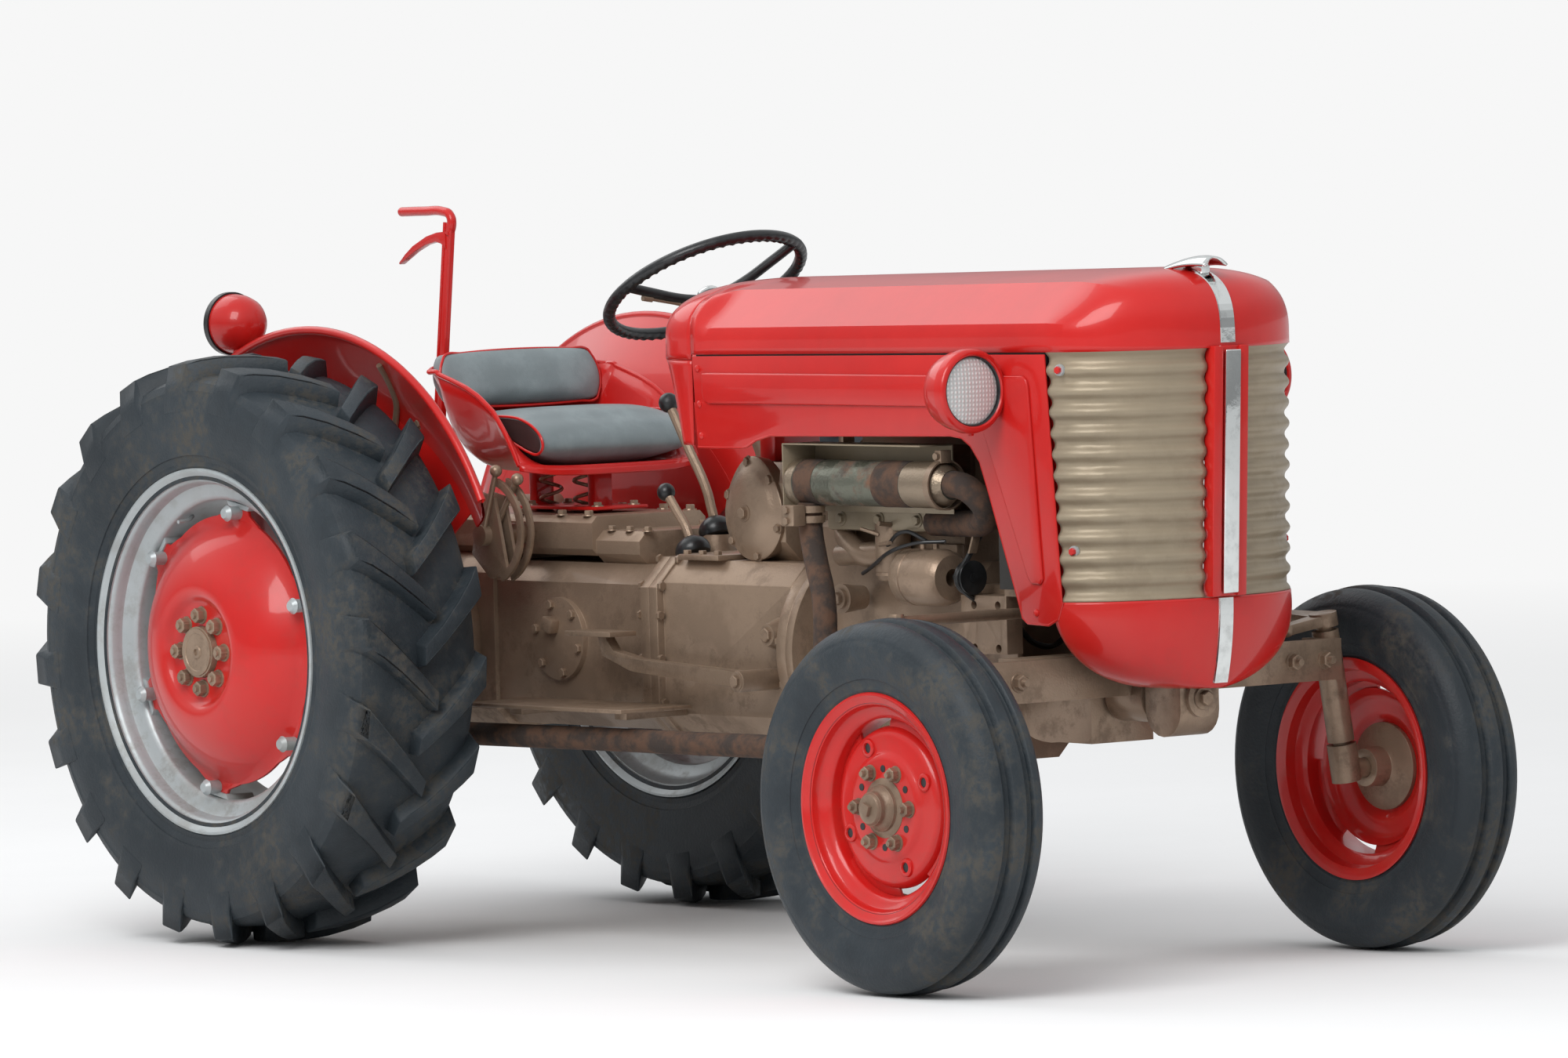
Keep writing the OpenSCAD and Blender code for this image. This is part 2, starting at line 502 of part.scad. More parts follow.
module seat_backrest() color(grey) put() prism_y(-seat_w / 2 + 26, seat_w / 2 - 26, [[back_x + 78, seat_z + 105],
    [back_x + 27.8, seat_z + 105], [back_x + 0.6, back_z - 1], [back_x + 12, seat_z + 240], [back_x + 58, seat_z + 235]]);

fend_a = 38;
fend_out = [[560, 345], [600, 345], [652, 372], [672, 420], [668, 486], [656, 490], [656, 486], [663, 482], [666, 420], [648, 376], [598, 351], [560, 351]];
module fenders() color(red) put() both() translate([0, 0, zr]) difference() {
    union() {
        rotate([90, 0, 0]) rotate([0, 0, fend_a]) mirror([0, 0, 1]) {
            rotate_extrude(angle = 128) polygon(fend_out);
            rotate([90, 0, 0]) linear_extrude(150) polygon(fend_out);
        }
        prism_y(345, 351, concat([[-105, 50], [105, 50], [240, 150]], arc(0, 0, 566, 22, 158, 24), [[-240, 150]]));
    }
    cy(0, 340, 0, 86.3, 30);
}
module lamp_shells() color(red) put() {
    both() translate([2068, hw + 82 + gap, 1157]) rotate([0, 90, 0]) rotate_extrude() polygon([[0, -100], [40, -95], [68, -70], [81, -20], [82, 4],
        [68, 4], [68, -12], [0, -12]]);
    difference() {
        union() {
            translate([-287, -425, 1284]) rotate([0, -90, 0]) rotate_extrude() polygon([[0, -60], [40, -50], [60, -20], [64, 30], [52, 30], [52, 14], [0, 14]]);
            cz(-275, -425, 1200, 14, 50);
        }
        cy(0, -500, zr, 672 + gap, 200);
    }
}
module lamp_lenses() color(chrome) put() {
    both() cx(2056.3, hw + 82 + gap, 1157, 67.7, 12);
    cx(-317, -425, 1284, 51.7, 12);
}
module hand_lever() color(red) put() {
    rod([-30, -110, zr + 263.6], [45, -110, 1500], 10);
    rod([45, -110, 1500], [-112, -110, 1507], 11);
}

// Wheels
module front_hub(s) translate([wheelbase, s * fy, zf]) rotate([s > 0 ? 0 : 180, 0, 0]) difference() {
    union() {
        spin_y([[20 + run, -28], [38, -28], [40, 10], [62, 18], [88, 24], [88, 34], [45, 34], [45, 52], [33, 56], [33, 74], [0, 80], [0, 73], [20 + run, 73]]);
        for (a = [0 : 60 : 300]) rotate([0, a, 0]) translate([76.2, 0, 0]) cy(0, 33, 0, 7, 8);
        for (a = [0 : 60 : 300]) rotate([0, a, 0]) translate([76.2, 40, 0]) rotate([-90, 0, 0]) cylinder(r = 13, h = 12, $fn = 6);
    }
}
module front_hub_left() color(bronze) put() front_hub(1);
module front_hub_right() color(bronze) put() front_hub(-1);

module front_wheel(s) translate([wheelbase, s * fy, zf]) rotate([s > 0 ? 0 : 180, 0, 0]) difference() {
    union() {
        spin_y([[front_rim_r, 65], [front_rim_r, 59], [203, 59], [203, 36], [178, 26], [178, -26], [203, -36], [203, -59], [front_rim_r, -59],
            [front_rim_r, -65], [197, -65], [197, -40], [172, -30], [172, 30], [197, 40], [197, 65]]);
        spin_y([[46, 34], [100, 34], [140, 22], [174, 10], [174, 16], [142, 28], [102, 40], [46, 40]]);
    }
    for (a = [0 : 60 : 300]) rotate([0, a, 0]) translate([76.2, 0, 0]) cy(0, 20, 0, 7.5, 40);
    for (a = [20 : 90 : 290]) rotate([0, a, 0]) box(157, 170, 0, 34, -46, 46);
}
module front_wheel_left() color(red) put() front_wheel(1);
module front_wheel_right() color(red) put() front_wheel(-1);

fb = 59 - gap;
fh = front_tyre_w / 2;
module front_tyre(s) translate([wheelbase, s * fy, zf]) spin_y([[203 + gap, -fb], [225, -fb], [250, -fh + 8], [285, -fh], [320, -fh + 5], [345, -fh + 22],
    [front_r - 4, -fh + 26], [front_r - 4, -fh + 44], [front_r - 14, -fh + 46], [front_r - 14, -15], [front_r, -13], [front_r, 13],
    [front_r - 14, 15], [front_r - 14, fh - 46], [front_r - 4, fh - 44], [front_r - 4, fh - 26], [345, fh - 22], [320, fh - 5], [285, fh],
    [250, fh - 8], [225, fb], [203 + gap, fb]]);
module front_tyre_left() color(dark) put() front_tyre(1);
module front_tyre_right() color(dark) put() front_tyre(-1);

module rear_hub(s) translate([0, s * ry, zr]) rotate([s > 0 ? 0 : 180, 0, 0]) {
    cy(0, -110, 0, 38, 80);
    cy(0, -40, 0, 58, 148);
    cy(0, 108, 0, 100, 20);
    cy(0, 128, 0, 53, 26);
    for (a = [0 : 45 : 315]) rotate([0, a, 0]) translate([76.2, 0, 0]) cy(0, 127, 0, 9, 14);
    for (a = [0 : 45 : 315]) rotate([0, a, 0]) translate([76.2, 140, 0]) rotate([-90, 0, 0]) cylinder(r = 15, h = 18, $fn = 6);
}
module rear_hub_left() color(bronze) put() rear_hub(1);
module rear_hub_right() color(bronze) put() rear_hub(-1);

module bracket_box(a) rotate([0, a, 0]) translate([262, 30, -38]) cube([56, 50, 76]);
module rear_rim_left() color(grey) put() rear_rim_y(1);
module rear_rim_right() color(grey) put() rear_rim_y(-1);
module rear_rim_y(s) translate([0, s * ry, zr]) rotate([s > 0 ? 0 : 180, 0, 0]) {
    spin_y([[rear_rim_r, 140], [rear_rim_r, 133], [356, 133], [356, 95], [322, 80], [322, -80], [356, -95], [356, -133], [rear_rim_r, -133],
        [rear_rim_r, -140], [347, -140], [347, -98], [313, -84], [313, 84], [347, 98], [347, 140]]);
    for (a = [0 : 60 : 300]) bracket_box(a + 80);
}

module rear_disc(s) translate([0, s * ry, zr]) rotate([s > 0 ? 0 : 180, 0, 0]) difference() {
    union() {
        spin_y([[54, 128], [118, 128], [130, 146], [150, 146], [215, 128], [280, 84], [300, 80.3], [300, 90], [284, 94], [219, 138], [152, 156],
            [122, 156], [112, 140], [54, 140]]);
        for (a = [0 : 60 : 300]) rotate([0, a + 80, 0]) translate([290, 0, 0]) cy(0, 88, 0, 14, 16);
    }
    for (a = [0 : 45 : 315]) rotate([0, a, 0]) translate([76.2, 0, 0]) cy(0, 110, 0, 9.5, 60);
}
module rear_disc_left() color(red) put() rear_disc(1);
module rear_disc_right() color(red) put() rear_disc(-1);

tb = rear_r - lug_h;
th = rear_tyre_w / 2;
tw = 133 - gap;
lug_w = 36;
lug_lean = 14;
module lug_end(a, y, d, r0, r1) rotate([0, a, 0]) translate([r0, y - d / 2, -lug_w / 2]) cube([sqrt(r1 * r1 - lug_w * lug_w / 4) - r0, d, lug_w]);
module rear_tyre(s) translate([0, s * ry, zr]) {
    rotate([-90, 0, 0]) rotate_extrude($fn = 32) polygon([[358.2, -tw], [rear_rim_r + 7, -tw], [406, -tw - 8], [480, -th + 1], [548, -th + 8],
        [tb - 4, -th + 45], [tb - 4, th - 45], [548, th - 8], [480, th - 1], [406, tw + 8], [rear_rim_r + 7, tw], [358.2, tw]]);
    for (i = [0 : lug_n - 1]) for (k = [-1, 1]) hull() {
        lug_end(90 + 360 / lug_n * (i + (k > 0 ? 0 : 0.5)) + asin(lug_w / 2 / rear_r), k * 8, 20, tb - 22, rear_r);
        lug_end(90 + 360 / lug_n * (i + (k > 0 ? 0 : 0.5)) - lug_lean, k * (th - 13), 26, 530, rear_r - 16);
    }
}
module rear_tyre_left() color(dark) put() rear_tyre(1);
module rear_tyre_right() color(dark) put() rear_tyre(-1);

// Rear lift linkage
module lift_arms() color(bronze) put() {
    cy(lift_x, -232, lift_z, 24, 464);
    both() difference() {
        union() {
            cy(lift_x, 200, lift_z, 40, 32);
            prism_y(206, 226, [[lift_x, lift_z - 30], [lift_x, lift_z + 34], [rod_x, lift_z + 22], [rod_x, lift_z - 22]]);
            cy(rod_x, 206, lift_z, 24, 20);
        }
        cy(rod_x, 190, lift_z, 10 + run, 60);
    }
}
hang_x = rod_x - 20;
function link_at(x) = link_y + (link_x - x) * 125 / link_l;
hang_y = link_at(hang_x);
module lift_rods() color(bronze) put() both() difference() {
    union() {
        cy(rod_x, 200, lift_z, 10, hang_y + 44 - 200);
        rod([rod_x, hang_y + 34, lift_z], [hang_x, hang_y + 34, link_z], 13);
        cy(rod_x, hang_y + 22, lift_z, 22, 24);
        cy(hang_x, hang_y + 22, link_z, 31, 24);
    }
    cy(hang_x, hang_y + 10, link_z, 20.5, 50);
}
module lower_links() color(bronze) put() both() difference() {
    union() {
        translate([link_x, link_y, link_z]) rotate([0, 0, 180 - atan2(125, link_l)]) translate([0, -8, -24]) cube([norm([link_l, 125]), 16, 48]);
        cy(hang_x, hang_y - 4, link_z, 9, 58);
        cy(link_x, link_y - 16, link_z, 30, 32);
        cy(link_x - link_l, link_y + 125 - 19, link_z, eye_r, 38);
    }
    cy(link_x, link_y - 40, link_z, 14 + run, 80);
    cy(link_x - link_l, link_y + 80, link_z, link_bore, 90);
}

transmission_case();
clutch_housing();
engine_block();
front_bolster();
axle_trumpets();
lift_cover();
control_quadrants();
hood();
side_panels();
grille_panels();
grille_post();
chrome_trim();
lower_nose();
dash_cowl();
radiator();
engine_fittings();
muffler();
manifold();
exhaust_pipe();
heat_shield();
fuel_tank();
carburettor();
steering_box();
shift_levers();
pedals();
foot_rests();
seat_pan();
seat_cushion();
seat_backrest();
fenders();
lamp_shells();
lamp_lenses();
hand_lever();
front_axle();
steering_wheel();
knuckle_left();
knuckle_right();
front_hub_left();
front_hub_right();
front_wheel_left();
front_wheel_right();
front_tyre_left();
front_tyre_right();
rear_hub_left();
rear_hub_right();
rear_rim_left();
rear_rim_right();
rear_disc_left();
rear_disc_right();
rear_tyre_left();
rear_tyre_right();
center_arm();
tie_rod_left();
tie_rod_right();
drag_link();
pitman_arm();
lift_arms();
lift_rods();
lower_links();
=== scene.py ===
"""Finished surfaces of a farm tractor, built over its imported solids."""

import json
import math

import bmesh
import bpy
from bpy.props import FloatProperty, FloatVectorProperty, IntProperty, PointerProperty
from mathutils import Matrix, Vector, noise

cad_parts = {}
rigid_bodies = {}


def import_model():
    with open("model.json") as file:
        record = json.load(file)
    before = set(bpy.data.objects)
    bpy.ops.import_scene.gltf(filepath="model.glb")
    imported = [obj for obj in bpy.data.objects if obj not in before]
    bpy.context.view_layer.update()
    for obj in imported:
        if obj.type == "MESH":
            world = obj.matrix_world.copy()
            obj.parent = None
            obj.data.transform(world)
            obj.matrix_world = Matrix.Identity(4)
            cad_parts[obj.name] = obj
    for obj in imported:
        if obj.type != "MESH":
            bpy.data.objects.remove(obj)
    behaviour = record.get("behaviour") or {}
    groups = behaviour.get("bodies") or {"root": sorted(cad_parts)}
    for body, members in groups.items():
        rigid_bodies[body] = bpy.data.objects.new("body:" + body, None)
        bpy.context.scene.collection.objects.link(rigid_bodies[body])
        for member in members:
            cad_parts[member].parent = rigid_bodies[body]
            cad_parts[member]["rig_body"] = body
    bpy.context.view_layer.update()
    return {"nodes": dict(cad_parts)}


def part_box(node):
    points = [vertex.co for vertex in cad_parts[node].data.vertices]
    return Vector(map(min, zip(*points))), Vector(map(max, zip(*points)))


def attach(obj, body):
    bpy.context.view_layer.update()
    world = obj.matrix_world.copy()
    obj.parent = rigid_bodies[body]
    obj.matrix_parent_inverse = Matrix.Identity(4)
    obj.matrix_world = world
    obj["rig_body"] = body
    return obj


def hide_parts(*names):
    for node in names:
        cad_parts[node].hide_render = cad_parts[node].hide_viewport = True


bl_info = {
    "name": "Farm tractor",
    "version": (1, 0, 0),
    "blender": (4, 5, 0),
    "location": "View3D > Sidebar > Tractor",
    "description": "Builds the sheet metal, tyres, seat and finishes of a farm tractor on its frame",
    "category": "Object",
}

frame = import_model()

# Places are written in millimetres: ahead of the rear axle, left of the middle, above the floor.
MM = 0.001
UP = Vector((0, 0, 1))
AHEAD = Vector((1, 0, 0))
LEFT = Vector((0, 1, 0))
SIDES = ((1, "left"), (-1, "right"))


def middle(node):
    """The middle of a solid's box."""
    low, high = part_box(node)
    return (low + high) / 2


REAR_HUB = middle("rear_rim_left")
FRONT_HUB = middle("front_tyre_left")
REAR_X = REAR_HUB.x
# Height of the rear axle above the floor
AXLE_UP = 615


def at(x, y, z):
    """A place in the frame from millimetres ahead of the rear axle, to the left and up."""
    return Vector((REAR_X + x * MM, y * MM, z * MM))


def path(*points):
    """Places along a route, each given as at() takes it."""
    return [at(*point) for point in points]


def polar(radius, angle):
    """A point on a circle from a radius and an angle in degrees."""
    turn = math.radians(angle)
    return radius * math.cos(turn), radius * math.sin(turn)


def over_axle(radius, angle, across):
    """A place on a circle about the rear axle."""
    x, z = polar(radius, angle)
    return at(x, across, AXLE_UP + z)


def in_pairs(ahead, across, up):
    """Places to the left and to the right of the middle, for each distance ahead."""
    return [at(x, side * across, up) for x in ahead for side in (1, -1)]


def verts_in(geometry):
    """The vertices among the items that a mesh operator gives back."""
    return [item for item in geometry if isinstance(item, bmesh.types.BMVert)]


# Modelling

def spun(bm, profile, centre, axis, steps=72, start=0.0, sweep=360.0, ring=True):
    """Turns a profile of (distance along the axis, radius) points in millimetres about an axis."""
    radial = AHEAD if abs(axis.x) < 0.9 else UP
    radial = (radial - axis * radial.dot(axis)).normalized()
    radial = Matrix.Rotation(math.radians(start), 3, axis) @ radial
    verts = [bm.verts.new(centre + axis * along * MM + radial * radius * MM) for along, radius in profile]
    pairs = list(zip(verts, verts[1:]))
    if ring:
        pairs.append((verts[-1], verts[0]))
    edges = [bm.edges.new(pair) for pair in pairs]
    bmesh.ops.spin(
        bm,
        geom=verts + edges,
        cent=centre,
        axis=axis,
        angle=math.radians(sweep),
        steps=steps,
        use_merge=abs(sweep) >= 360,
    )
    return edges


def close_ends(bm):
    """Fills the open ends of every sheet or tube in the mesh."""
    bmesh.ops.holes_fill(bm, edges=[edge for edge in bm.edges if edge.is_boundary], sides=0)


def soften(bm, edges, radius, segments=2):
    """Rounds edges by a radius in millimetres."""
    bmesh.ops.bevel(
        bm,
        geom=list(edges),
        offset=radius * MM,
        offset_type="OFFSET",
        affect="EDGES",
        segments=segments,
        profile=0.5,
        material=-1,
        clamp_overlap=True,
    )


def sharp_edges(edges, angle=30):
    """The edges whose two faces meet at more than an angle in degrees."""
    limit = math.radians(angle)
    return [edge for edge in edges if len(edge.link_faces) == 2 and edge.calc_face_angle() > limit]


def drum(bm, start, end, radius, end_radius=None, sides=40):
    """A round bar or cone between two places, with radii in millimetres."""
    axis = end - start
    turn = axis.to_track_quat("Z", "Y").to_matrix().to_4x4()
    bmesh.ops.create_cone(
        bm,
        cap_ends=True,
        segments=sides,
        radius1=radius * MM,
        radius2=(radius if end_radius is None else end_radius) * MM,
        depth=axis.length,
        matrix=Matrix.Translation((start + end) / 2) @ turn,
    )


def ball(bm, place, radius, segments, rings):
    """A ball of a radius in millimetres."""
    bmesh.ops.create_uvsphere(
        bm, u_segments=segments, v_segments=rings, radius=radius * MM, matrix=Matrix.Translation(place)
    )


def block(bm, low, high, edge=3.0, turn=None):
    """A box between two corners with rounded edges, turned about its middle if asked."""
    size = high - low
    place = Matrix.Translation((low + high) / 2) @ (turn or Matrix()) @ Matrix.Diagonal((*size, 1))
    verts = bmesh.ops.create_cube(bm, size=1, matrix=place)["verts"]
    soften(bm, {link for vert in verts for link in vert.link_edges}, edge)


def plate(bm, outline, depth, edge=1.5, segments=2):
    """A flat plate: an outline pushed through a depth, with rounded edges."""
    face = bm.faces.new([bm.verts.new(place) for place in outline])
    verts = verts_in(bmesh.ops.extrude_face_region(bm, geom=[face])["geom"])
    bmesh.ops.translate(bm, verts=verts, vec=depth)
    bm.normal_update()
    links = {link for vert in list(face.verts) + verts for link in vert.link_edges}
    if edge:
        soften(bm, sharp_edges(links, 20), edge, segments)


def swept(bm, sections):
    """A solid through sections of equal point count, made by extruding the first one on."""
    face = bm.faces.new([bm.verts.new(place) for place in sections[0]])
    for section in sections[1:]:
        made = bmesh.ops.extrude_face_region(bm, geom=[face])["geom"]
        face = next(item for item in made if isinstance(item, bmesh.types.BMFace))
        for vert, place in zip(face.verts, section):
            vert.co = place


def shell(bm, rows, columns, place):
    """A sheet of rows and columns of faces, laid out by place(u, v) with both from 0 to 1."""
    verts = bmesh.ops.create_grid(bm, x_segments=rows, y_segments=columns, size=0.5)["verts"]
    for vert in verts:
        vert.co = place(vert.co.x + 0.5, vert.co.y + 0.5)


def tube(bm, places, radius, closed=False, straight=False, roundness=3):
    """A round bar of a radius in millimetres along places, smooth unless asked to be straight."""
    curve = bpy.data.curves.new("bar", "CURVE")
    curve.dimensions = "3D"
    curve.bevel_depth = radius * MM
    curve.bevel_resolution = roundness
    curve.resolution_u = 8
    curve.use_fill_caps = True
    spline = curve.splines.new("POLY" if straight else "BEZIER")
    knots = spline.points if straight else spline.bezier_points
    knots.add(len(places) - 1)
    for knot, place in zip(knots, places):
        if straight:
            knot.co = (*place, 1)
        else:
            knot.co = place
            knot.handle_left_type = "AUTO"
            knot.handle_right_type = "AUTO"
    spline.use_cyclic_u = closed
    holder = bpy.data.objects.new("bar", curve)
    bpy.context.scene.collection.objects.link(holder)
    ready = holder.evaluated_get(bpy.context.evaluated_depsgraph_get())
    mesh = bpy.data.meshes.new_from_object(ready)
    bm.from_mesh(mesh)
    bpy.data.objects.remove(holder)
    bpy.data.curves.remove(curve)
    bpy.data.meshes.remove(mesh)


def bolt_heads(bm, places, axis, across, height, washer=0.0):
    """Hexagon heads standing on places along an axis, with sizes in millimetres."""
    turn = axis.to_track_quat("Z", "Y").to_matrix().to_4x4()
    for place in places:
        foot = place
        if washer:
            foot = place + axis * 2.5 * MM
            drum(bm, place, foot, washer, washer * 0.95, 20)
        verts = bmesh.ops.create_cone(
            bm,
            cap_ends=True,
            segments=6,
            radius1=across * MM,
            radius2=across * MM,
            depth=height * MM,
            matrix=Matrix.Translation(foot + axis * height / 2 * MM) @ turn,
        )["verts"]
        bm.normal_update()
        links = {edge for vert in verts for edge in vert.link_edges}
        level = height * 0.9 * MM
        tops = [edge for edge in links if all((vert.co - foot).dot(axis) > level for vert in edge.verts)]
        soften(bm, tops, across * 0.13, 1)


def ring_places(centre, axis, radius, count, start=0.0, sweep=360.0):
    """Evenly spaced places on a circle of a radius in millimetres."""
    radial = AHEAD if abs(axis.x) < 0.9 else UP
    step = sweep / count
    return [
        centre + Matrix.Rotation(math.radians(start + step * index), 3, axis) @ radial * radius * MM
        for index in range(count)
    ]


def piece(bm, name, body, slot, finish=None, stands_for=(), angle=35):
    """Closes a mesh, makes it an object with its finish and fixes it to a body of the frame."""
    bmesh.ops.remove_doubles(bm, verts=bm.verts, dist=1e-6)
    bmesh.ops.recalc_face_normals(bm, faces=bm.faces)
    mesh = bpy.data.meshes.new(name)
    bm.to_mesh(mesh)
    bm.free()
    mesh.materials.append(FINISHES[finish or slot])
    mesh.shade_smooth()
    mesh.set_sharp_from_angle(angle=math.radians(angle))
    obj = bpy.data.objects.new(name, mesh)
    bpy.context.scene.collection.objects.link(obj)
    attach(obj, body)
    if stands_for:
        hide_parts(*stands_for)
    return obj


def thicken(obj, depth):
    """Gives a sheet piece a wall of a depth in millimetres, inside its faces."""
    wall = obj.modifiers.new("Wall", "SOLIDIFY")
    wall.thickness = depth * MM
    wall.offset = -1.0


def smoothed(obj, levels=1):
    """Rounds a piece with a subdivision surface."""
    rounder = obj.modifiers.new("Round", "SUBSURF")
    rounder.levels = levels
    rounder.render_levels = levels


def cast_copy(node, slot, radius):
    """A copy of a solid with its edges rounded as a casting's are, standing for it."""
    bm = bmesh.new()
    bm.from_mesh(frame["nodes"][node].data)
    bmesh.ops.remove_doubles(bm, verts=bm.verts, dist=2e-5)
    bmesh.ops.dissolve_limit(bm, angle_limit=math.radians(1.5), verts=bm.verts, edges=bm.edges)
    soften(bm, sharp_edges(bm.edges, 32), radius)
    body = frame["nodes"][node]["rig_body"]
    piece(bm, node + "_cast", body, slot, None, (node,))


def ease(value):
    """A smooth step from 0 to 1."""
    value = max(0.0, min(1.0, value))
    return value * value * (3 - 2 * value)


# Finishes
FINISHES = {}


def shader_kit(name):
    """A new finish: functions that add its nodes and set its shader's inputs, and its place socket."""
    material = bpy.data.materials.new("worn_" + name)
    FINISHES[name] = material
    material.use_nodes = True
    tree = material.node_tree

    def add(kind, inputs=None, **settings):
        node = tree.nodes.new(kind)
        for key, value in settings.items():
            setattr(node, key, value)
        for key, value in (inputs or {}).items():
            if isinstance(value, bpy.types.NodeSocket):
                tree.links.new(value, node.inputs[key])
            else:
                node.inputs[key].default_value = value
        return node

    shader = tree.nodes["Principled BSDF"]

    def set_input(key, value):
        if isinstance(value, bpy.types.NodeSocket):
            tree.links.new(value, shader.inputs[key])
        else:
            shader.inputs[key].default_value = value

    return add, set_input, add("ShaderNodeTexCoord").outputs["Object"]


def blend_colours(add, factor, first, second):
    """A colour between two others."""
    mix = add("ShaderNodeMix", data_type="RGBA")
    for index, value in ((0, factor), (6, first), (7, second)):
        if isinstance(value, bpy.types.NodeSocket):
            mix.id_data.links.new(value, mix.inputs[index])
        elif index == 0:
            mix.inputs[index].default_value = value
        else:
            mix.inputs[index].default_value = (*value, 1)
    return mix.outputs[2]


def patches(add, spot, scale, low, high, detail=6.0, rough=0.65):
    """A soft-edged mask of irregular patches."""
    cloud = add(
        "ShaderNodeTexNoise", {"Vector": spot, "Scale": scale, "Detail": detail, "Roughness": rough}
    )
    return add(
        "ShaderNodeMapRange",
        {"Value": cloud.outputs["Fac"], "From Min": low, "From Max": high},
        interpolation_type="SMOOTHSTEP",
    ).outputs["Result"]


def product(add, first, second):
    """Two masks multiplied."""
    return add("ShaderNodeMath", {0: first, 1: second}, operation="MULTIPLY").outputs[0]


def ramp(add, mask, low, high):
    """A value that goes from low to high as a mask goes from 0 to 1."""
    return add("ShaderNodeMapRange", {"Value": mask, "To Min": low, "To Max": high}).outputs["Result"]


def bumped(add, height, strength, depth):
    """A bumped normal from a height, with its depth in millimetres."""
    inputs = {"Height": height, "Strength": strength, "Distance": depth * MM}
    return add("ShaderNodeBump", inputs).outputs["Normal"]


def grain(add, spot, scale, depth, detail=3.0):
    """A bumped normal from fine noise, with its depth in millimetres."""
    cloud = add("ShaderNodeTexNoise", {"Vector": spot, "Scale": scale, "Detail": detail})
    return bumped(add, cloud.outputs["Fac"], 1.0, depth)


def painted(name, colour, metal, rough, coat, grain_scale, grain_depth, dirt, dust):
    """Paint with a slow shift of tone, a fine grain and dust that gathers low down."""
    add, set_input, spot = shader_kit(name)
    tone = patches(add, spot, 2.5, 0.3, 0.7)
    paint = blend_colours(add, tone, [c * 0.86 for c in colour], [min(1, c * 1.06) for c in colour])
    height = add("ShaderNodeSeparateXYZ", {"Vector": spot}).outputs["Z"]
    fade = {"Value": height, "From Min": 0.2, "From Max": 1.2, "To Min": 1.0, "To Max": 0.2}
    low = add("ShaderNodeMapRange", fade).outputs["Result"]
    specks = patches(add, spot, 14.0, 0.47, 0.64, 9.0, 0.72)
    stains = patches(add, spot, 5.0, 0.46, 0.62, 8.0, 0.6)
    both = add("ShaderNodeMath", {0: specks, 1: stains}, operation="MAXIMUM").outputs[0]
    soil = product(add, product(add, both, low), dirt)
    set_input("Base Color", blend_colours(add, soil, paint, dust))
    set_input("Roughness", ramp(add, soil, rough, min(1.0, rough + 0.35)))
    set_input("Metallic", metal)
    set_input("Coat Weight", coat)
    set_input("Coat Roughness", 0.07)
    set_input("Specular IOR Level", 0.25)
    set_input("Normal", grain(add, spot, grain_scale, grain_depth))


def rubber(name, colour, dust):
    """Old rubber with dried soil in patches and a fine pitted grain."""
    add, set_input, spot = shader_kit(name)
    soil = product(add, patches(add, spot, 6.0, 0.46, 0.62, 10.0, 0.7), patches(add, spot, 60.0, 0.36, 0.6))
    worn = blend_colours(add, patches(add, spot, 3.0, 0.35, 0.65), colour, [c * 1.7 for c in colour])
    set_input("Base Color", blend_colours(add, product(add, soil, 0.35), worn, dust))
    set_input("Roughness", ramp(add, soil, 0.5, 0.92))
    set_input("Specular IOR Level", 0.3)
    set_input("Normal", grain(add, spot, 160.0, 0.9, 5.0))


def scaled_steel(name, steel, scale_colour, rust, bareness):
    """Heated steel, partly bare, partly covered in dark scale and rust."""
    add, set_input, spot = shader_kit(name)
    crust = patches(add, spot, 9.0, bareness, bareness + 0.14, 8.0, 0.7)
    warm = blend_colours(add, patches(add, spot, 22.0, 0.4, 0.62), scale_colour, rust)
    set_input("Base Color", blend_colours(add, crust, steel, warm))
    set_input("Metallic", ramp(add, crust, 0.75, 0.05))
    set_input("Roughness", ramp(add, crust, 0.34, 0.9))
    set_input("Normal", grain(add, spot, 190.0, 1.1, 6.0))


# Distance from a seat pad's middle beyond which its two sides are painted dark as shade, in metres
SHADED_SIDE_Y = 0.1935


def grained_vinyl(name, colour, side=None):
    """Seat vinyl with a pebble grain and slightly rubbed tops; side is a dark colour painted on a pad's two
    sides as shade.
    """
    add, set_input, spot = shader_kit(name)
    rubbed = patches(add, spot, 11.0, 0.4, 0.7)
    cover = blend_colours(add, rubbed, colour, [c * 1.25 for c in colour])
    # A pad's two sides take the dark side colour: painted shade.
    if side:
        across = add("ShaderNodeSeparateXYZ", {"Vector": spot}).outputs["Y"]
        out = add("ShaderNodeMath", {0: across}, operation="ABSOLUTE").outputs[0]
        panel = add("ShaderNodeMath", {0: out, 1: SHADED_SIDE_Y}, operation="GREATER_THAN").outputs[0]
        cover = blend_colours(add, panel, cover, side)
    set_input("Base Color", cover)
    cells = add("ShaderNodeTexVoronoi", {"Vector": spot, "Scale": 520.0})
    set_input("Normal", bumped(add, cells.outputs["Distance"], 0.6, 0.25))
    set_input("Roughness", 0.42)
    set_input("Specular IOR Level", 0.35)


def bright_metal(name, colour, rough):
    """Polished plate with faint smears and pits."""
    add, set_input, spot = shader_kit(name)
    smear = patches(add, spot, 30.0, 0.45, 0.7, 8.0)
    set_input("Base Color", blend_colours(add, smear, colour, [c * 0.8 for c in colour]))
    set_input("Roughness", ramp(add, smear, rough, rough + 0.16))
    set_input("Metallic", 1.0)
    set_input("Normal", grain(add, spot, 40.0, 0.15))


def moulded(name, colour, rough):
    """Moulded plastic or hard rubber with a dull bloom."""
    add, set_input, spot = shader_kit(name)
    bloom = patches(add, spot, 24.0, 0.42, 0.75)
    set_input("Base Color", blend_colours(add, bloom, colour, [c * 1.8 + 0.004 for c in colour]))
    set_input("Roughness", ramp(add, bloom, rough, rough + 0.2))
    set_input("Normal", grain(add, spot, 150.0, 0.12))


